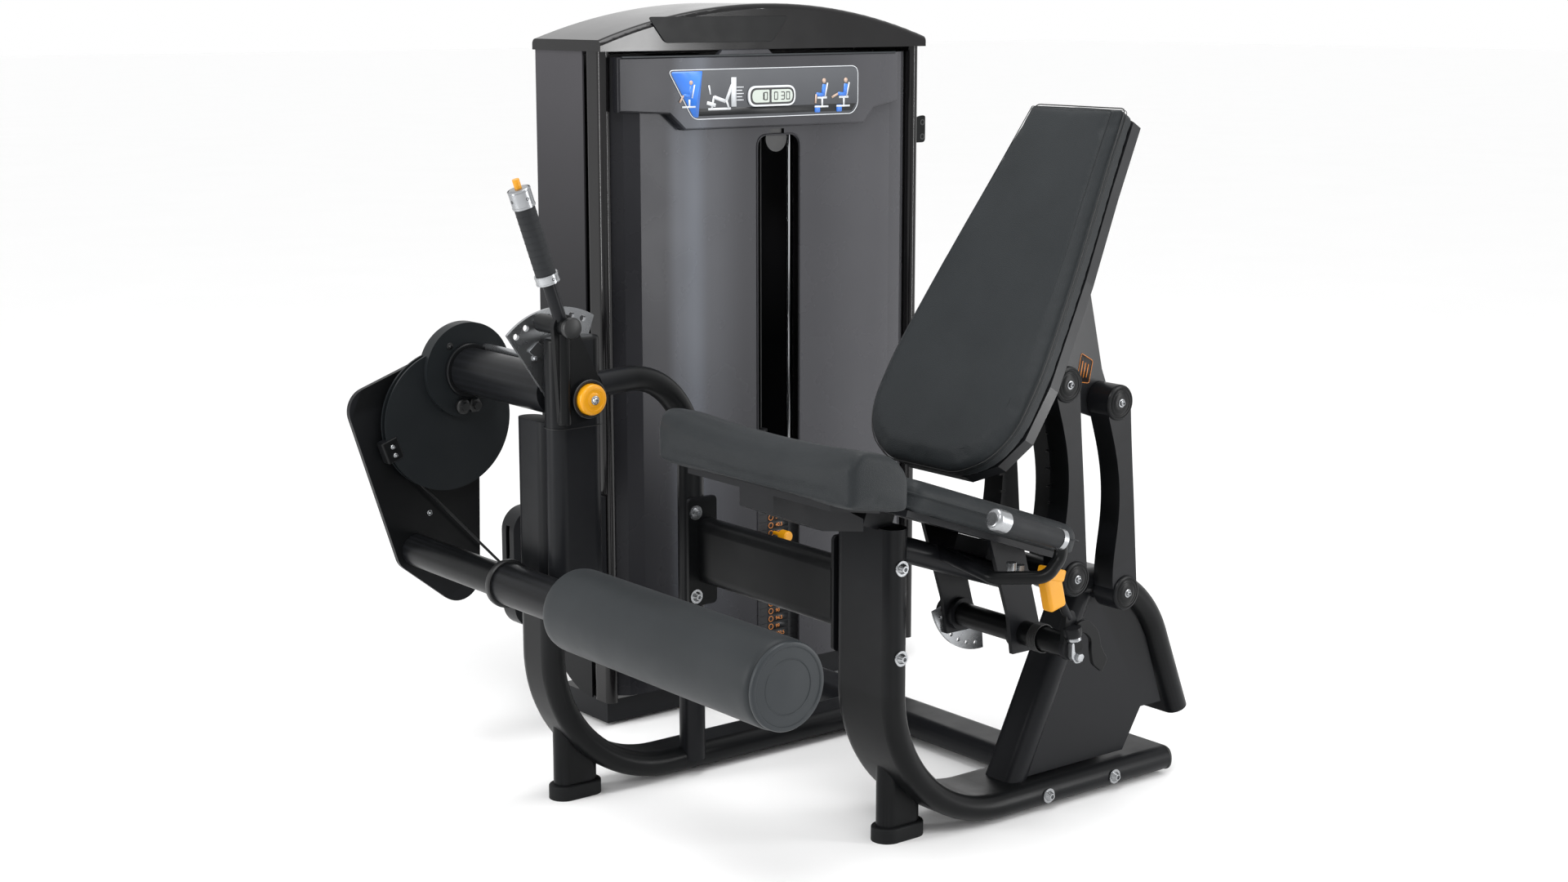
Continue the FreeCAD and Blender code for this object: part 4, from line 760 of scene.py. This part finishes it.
def figure(tag, x, z, s, knee):
    """Plain seated pictogram: blue body, light seat."""
    parts = [("seat", limb(x - 8 * s, z - 13 * s, x + 20 * s, z - 13 * s, 5 * s), "print_light"),
             ("back", limb(x + 14 * s, z - 12 * s, x + 22 * s, z + 20 * s, 4 * s), "print_light"),
             ("post", limb(x + 6 * s, z - 15 * s, x + 6 * s, z - 32 * s, 5 * s), "print_light"),
             ("base", limb(x - 16 * s, z - 33 * s, x + 24 * s, z - 33 * s, 4 * s), "print_light"),
             ("trunk", limb(x + 8 * s, z - 9 * s, x + 12 * s, z + 17 * s, 11 * s), "print_blue"),
             ("head", disc(x + 11 * s, z + 25 * s, 5.5 * s), "print_skin"),
             ("thigh", limb(x + 8 * s, z - 7 * s, x - 12 * s, z - 5 * s, 8 * s), "print_blue"),
             ("shin", limb(x - 12 * s, z - 5 * s, x - 12 * s - 20 * s * math.sin(knee),
                           z - 5 * s - 20 * s * math.cos(knee), 5 * s), "print_skin")]
    for i, (nm, poly, mt) in enumerate(parts):
        prism(f"{tag}_{nm}", poly, front(276.95 - 0.12 * i), 0.15, mt, "frame", 0.0)


def make_bracket_label():
    """Small outlined label on the near backrest bracket, with plain bars."""
    rim = rounded([(763, 868), (798, 862), (808, 906), (776, 924)], 4, 4)
    prism("bracket_label", rim, lambda u, v, w: P(u, -658 - w, v), 0.3, "ink", "backrest", 0.0)
    tube("bracket_label_rim", [P(u, -658.4, v) for u, v in rim], 0.8, "print_orange", "backrest", closed=True)
    for k in range(3):
        bar = limb(774 + 8 * k, 876 - k, 780 + 8 * k, 908 - 4 * k, 2.5)
        prism(f"bracket_bar_{k}", bar, lambda u, v, w: P(u, -658.3 - w, v), 0.4, "print_orange", "backrest",
              0.0)


def make_tower():
    # instruction plate: printed panel with a blue end and simple pictograms
    plate = rounded([(449, 1458), (515, 1351), (968, 1351), (984, 1370), (984, 1459)], [14, 16, 24, 16, 20],
                    6)
    prism("panel_plate", plate, front(278.2), 1.1, "print_grey", "frame", 0.0005)
    rim = [P(u, 277.0, v) for u, v in plate]
    tube("panel_rim", rim, 0.9, "print_light", "frame", closed=True)
    blue = rounded([(455, 1455), (517, 1355), (529, 1355), (541, 1455)], [10, 8, 2, 2], 4)
    prism("panel_blue", blue, front(277.0), 0.25, "print_blue", "frame", 0.0)
    band = [(530, 1358), (966, 1358), (978, 1374), (532, 1374)]
    prism("panel_band", band, front(277.05), 0.15, "ink", "frame", 0.0)
    figure("fig_a", 500, 1408, 0.9, 0.6)
    figure("fig_b", 872, 1402, 1.0, 0.1)
    figure("fig_c", 936, 1402, 1.0, 1.15)
    # drawn machine outline
    for i, (a, b, c, d, w) in enumerate(((556, 1372, 618, 1372, 5), (566, 1374, 572, 1400, 5),
                                         (572, 1398, 604, 1388, 8), (604, 1386, 622, 1424, 8),
                                         (612, 1374, 606, 1390, 5), (562, 1404, 558, 1424, 4),
                                         (626, 1376, 626, 1440, 14), (552, 1386, 576, 1380, 8))):
        prism(f"drawing_{i}", limb(a, b, c, d, w), front(276.8 - 0.1 * i), 0.15, "print_light", "frame", 0.0)
    for i in range(5):
        prism(f"text_bar_{i}", limb(634, 1418 - i * 7, 654 - (i % 2) * 4, 1418 - i * 7, 2.2), front(276.9),
              0.15, "print_light", "frame", 0.0)
    for i, (x, z) in enumerate(((856, 1364), (920, 1364))):
        prism(f"step_mark_{i}", rounded([(x, z - 8), (x + 16, z - 8), (x + 16, z + 8), (x, z + 8)], 3, 3),
              front(276.7), 0.2, "print_blue", "frame", 0.0)
    # display: pill bezel with two windows
    pill = rounded([(664, 1374), (798, 1374), (798, 1420), (664, 1420)], 22, 8)
    prism("display_bezel", pill, front(277.6), 5.5, "print_light", "frame", 0.0022)
    prism("display_inner", rounded([(669, 1378.5), (793, 1378.5), (793, 1415.5), (669, 1415.5)], 18, 8),
          front(272.4), 0.8, "ink", "frame", 0.0003)
    prism("display_left", rounded([(674, 1383), (722, 1383), (722, 1411), (674, 1411)], [14, 3, 3, 14], 6),
          front(271.7), 0.5, "lcd", "frame", 0.0002)
    prism("display_right", rounded([(728, 1383), (788, 1383), (788, 1411), (728, 1411)], [3, 14, 14, 3], 6),
          front(271.7), 0.5, "lcd", "frame", 0.0002)

    def digit(tag, x, z, on):
        segs = {"a": (0, 16, 9, 16), "b": (9, 16, 9, 8), "c": (9, 8, 9, 0), "d": (0, 0, 9, 0),
                "e": (0, 8, 0, 0), "f": (0, 16, 0, 8), "g": (0, 8, 9, 8)}
        for k in on:
            a, b, c, d = segs[k]
            prism(f"{tag}_{k}", limb(x + a, z + b, x + c, z + d, 2.0), front(271.1), 0.15, "ink", "frame",
                  0.0)
    digit("d0", 696, 1389, "bc")
    digit("d1", 707, 1389, "abcdef")
    digit("d2", 736, 1389, "abcdef")
    digit("d3", 755, 1389, "abcdg")
    digit("d4", 770, 1389, "abcdef")
    # crown: blank badge
    badge = rounded([(407, 1572), (452, 1516), (745, 1516), (791, 1572)], 10, 5)
    prism("crown_badge", badge, front(291.4), 2.0, "frame_black", "frame", 0.0008)
    # header: trim strip along its top, and a boss under the badge
    lip = [(330, 1489.5), (1098, 1489.5), (1098, 1486), (330, 1486)]
    prism("header_top_trim", lip, front(279.5), 3.0, "cap_grey", "frame", 0.0008)
    boss = [(588, 1488), (742, 1488), (728, 1500), (600, 1500)]
    prism("header_boss", boss, lambda u, v, w: P(u, 282 + w, v), 16, "shroud_grey", "frame", 0.002)
    # edge trims either side of the shroud
    for i, x in enumerate((322.5, 1167.5)):
        pts = [P(x, 331, 72), P(x, 331, 700), P(x, 331, 1488)]
        tube(f"shroud_gasket_{i}", pts, 3.0, "trim_black", "frame")
    # selector slot: trim round it and a cap at its top
    hole = rounded([(708.5, 100), (831.5, 100), (831.5, 1309.5), (708.5, 1309.5)], [2, 2, 29, 29], 8)
    pts = [P(u, 299.6, v) for u, v in hole]
    tube("slot_trim", pts, 2.2, "shroud_grey", "frame", closed=True)
    lathe("slot_cap", P(768, 306, 1300), (0, -1, 0), [(0, -6), (30, -6), (30, 0), (0, 0)], "trim_black",
          "frame", 32)
    # accessory hook on the right column
    hook = rounded([(1176, 1272), (1240, 1272), (1240, 1336), (1226, 1336), (1176, 1322)],
                   [3, 10, 12, 6, 3], 5)
    prism("accessory_hook", hook, front(334), 5.0, "frame_black", "frame", 0.0012)
    for i, z in enumerate((1286, 1320)):
        lathe(f"hook_eye_{i}", P(1230, 329, z), (0, -1, 0), [(4.2, -5.6), (7.4, -5.6), (7.4, 0.6),
                                                             (6.4, 1.0), (4.2, 0.4)], "trim_black", "frame",
              24)
    # numbered strip down the stack's front
    labels = []
    for i in range(PLATES):
        z = STACK_Z + i * PLATE_PITCH + 9.1
        body = "frame" if i < RESTING else "weights"
        prism(f"plate_label_{i}", rounded([(752, z - 7.6), (812, z - 7.6), (812, z + 7.6), (752, z + 7.6)],
                                          1.5, 2), front(317.6), 0.5, "ink", body, 0.0)
        lathe(f"plate_ring_{i}", P(760, 317.0, z), (0, -1, 0), [(5.6, 0), (6.9, 0), (6.9, 0.5), (5.6, 0.5)],
              "print_orange", body, 24)
        labels.append((f"{(PLATES + 1 - i) * PLATE_KG:g}", z, body))
    for body in ("frame", "weights"):
        made = []
        for text, z, bd in labels:
            if bd != body:
                continue
            cu = bpy.data.curves.new("num", "FONT")
            cu.body = text
            cu.size = 0.012
            cu.extrude = 0.0002
            o = bpy.data.objects.new("num", cu)
            bpy.context.scene.collection.objects.link(o)
            o.rotation_euler = (math.radians(90), 0, 0)
            o.location = P(774, 316.9, z - 4.2)
            bpy.context.view_layer.update()
            dg = bpy.context.evaluated_depsgraph_get()
            mesh = bpy.data.meshes.new_from_object(o.evaluated_get(dg))
            mesh.transform(o.matrix_world)
            bpy.data.objects.remove(o)
            made.append(mesh)
        bm = bmesh.new()
        for mesh in made:
            bm.from_mesh(mesh)
            bpy.data.meshes.remove(mesh)
        finish_mesh(bm, f"plate_numbers_{body}", "print_orange", body, smooth=False)


# ------------------------------------------------------------------ stage, light and camera
def make_stage():
    bm = bmesh.new()
    s = 60.0
    vs = [bm.verts.new((x, y, 0)) for x, y in ((-s, -s), (s, -s), (s, s), (-s, s))]
    bm.faces.new(vs)
    mesh = bpy.data.meshes.new("floor")
    bm.to_mesh(mesh)
    bm.free()
    floor = bpy.data.objects.new("floor", mesh)
    bpy.context.scene.collection.objects.link(floor)
    mesh.materials.append(material("floor_pale", lin("fcfcfc"), lin("fefefe"), (0.6, 0.7), 0, 0, 0.1,
                                   (60, 0.0), 1.5, spec=0.1))
    world = bpy.data.worlds.new("studio")
    bpy.context.scene.world = world
    world.use_nodes = True
    bg = world.node_tree.nodes["Background"]
    bg.inputs["Color"].default_value = (1.0, 1.0, 1.0, 1)
    bg.inputs["Strength"].default_value = 1.0
    bpy.context.scene.view_settings.view_transform = "Standard"

    def area(name, loc, target, size, power, size_y):
        li = bpy.data.lights.new(name, "AREA")
        li.energy = power
        li.shape = "RECTANGLE"
        li.size = size
        li.size_y = size_y
        o = bpy.data.objects.new(name, li)
        bpy.context.scene.collection.objects.link(o)
        o.location = loc
        o.rotation_euler = (Vector(target) - Vector(loc)).to_track_quat("-Z", "Y").to_euler()
    area("key", (-2.2, -2.6, 3.8), (0, 0, 0.8), 1.2, 55, 1.2)
    area("top", (0.2, -0.4, 3.6), (0, -0.2, 0), 2.0, 45, 1.2)
    area("strip_right", (2.3, -3.0, 1.2), (0.0, 0.1, 0.9), 0.25, 50, 2.2)
    area("strip_left", (-3.2, 0.6, 1.4), (-0.2, 0, 0.8), 0.4, 45, 2.0)
    cam = bpy.data.cameras.new("camera")
    cam.lens = LENS_MM
    cam.sensor_width = SENSOR_MM
    cam.clip_end = 300
    co = bpy.data.objects.new("camera", cam)
    bpy.context.scene.collection.objects.link(co)
    co.location = EYE
    yaw = math.radians(YAW_DEG)
    pitch = math.radians(PITCH_DEG)
    d = Vector((math.sin(yaw) * math.cos(pitch), math.cos(yaw) * math.cos(pitch), -math.sin(pitch)))
    co.rotation_euler = d.to_track_quat("-Z", "Y").to_euler()
    bpy.context.scene.camera = co


make_pads()
make_knee()
make_links()
make_release()
make_bracket_label()
make_frame_details()
make_tower()
make_stage()
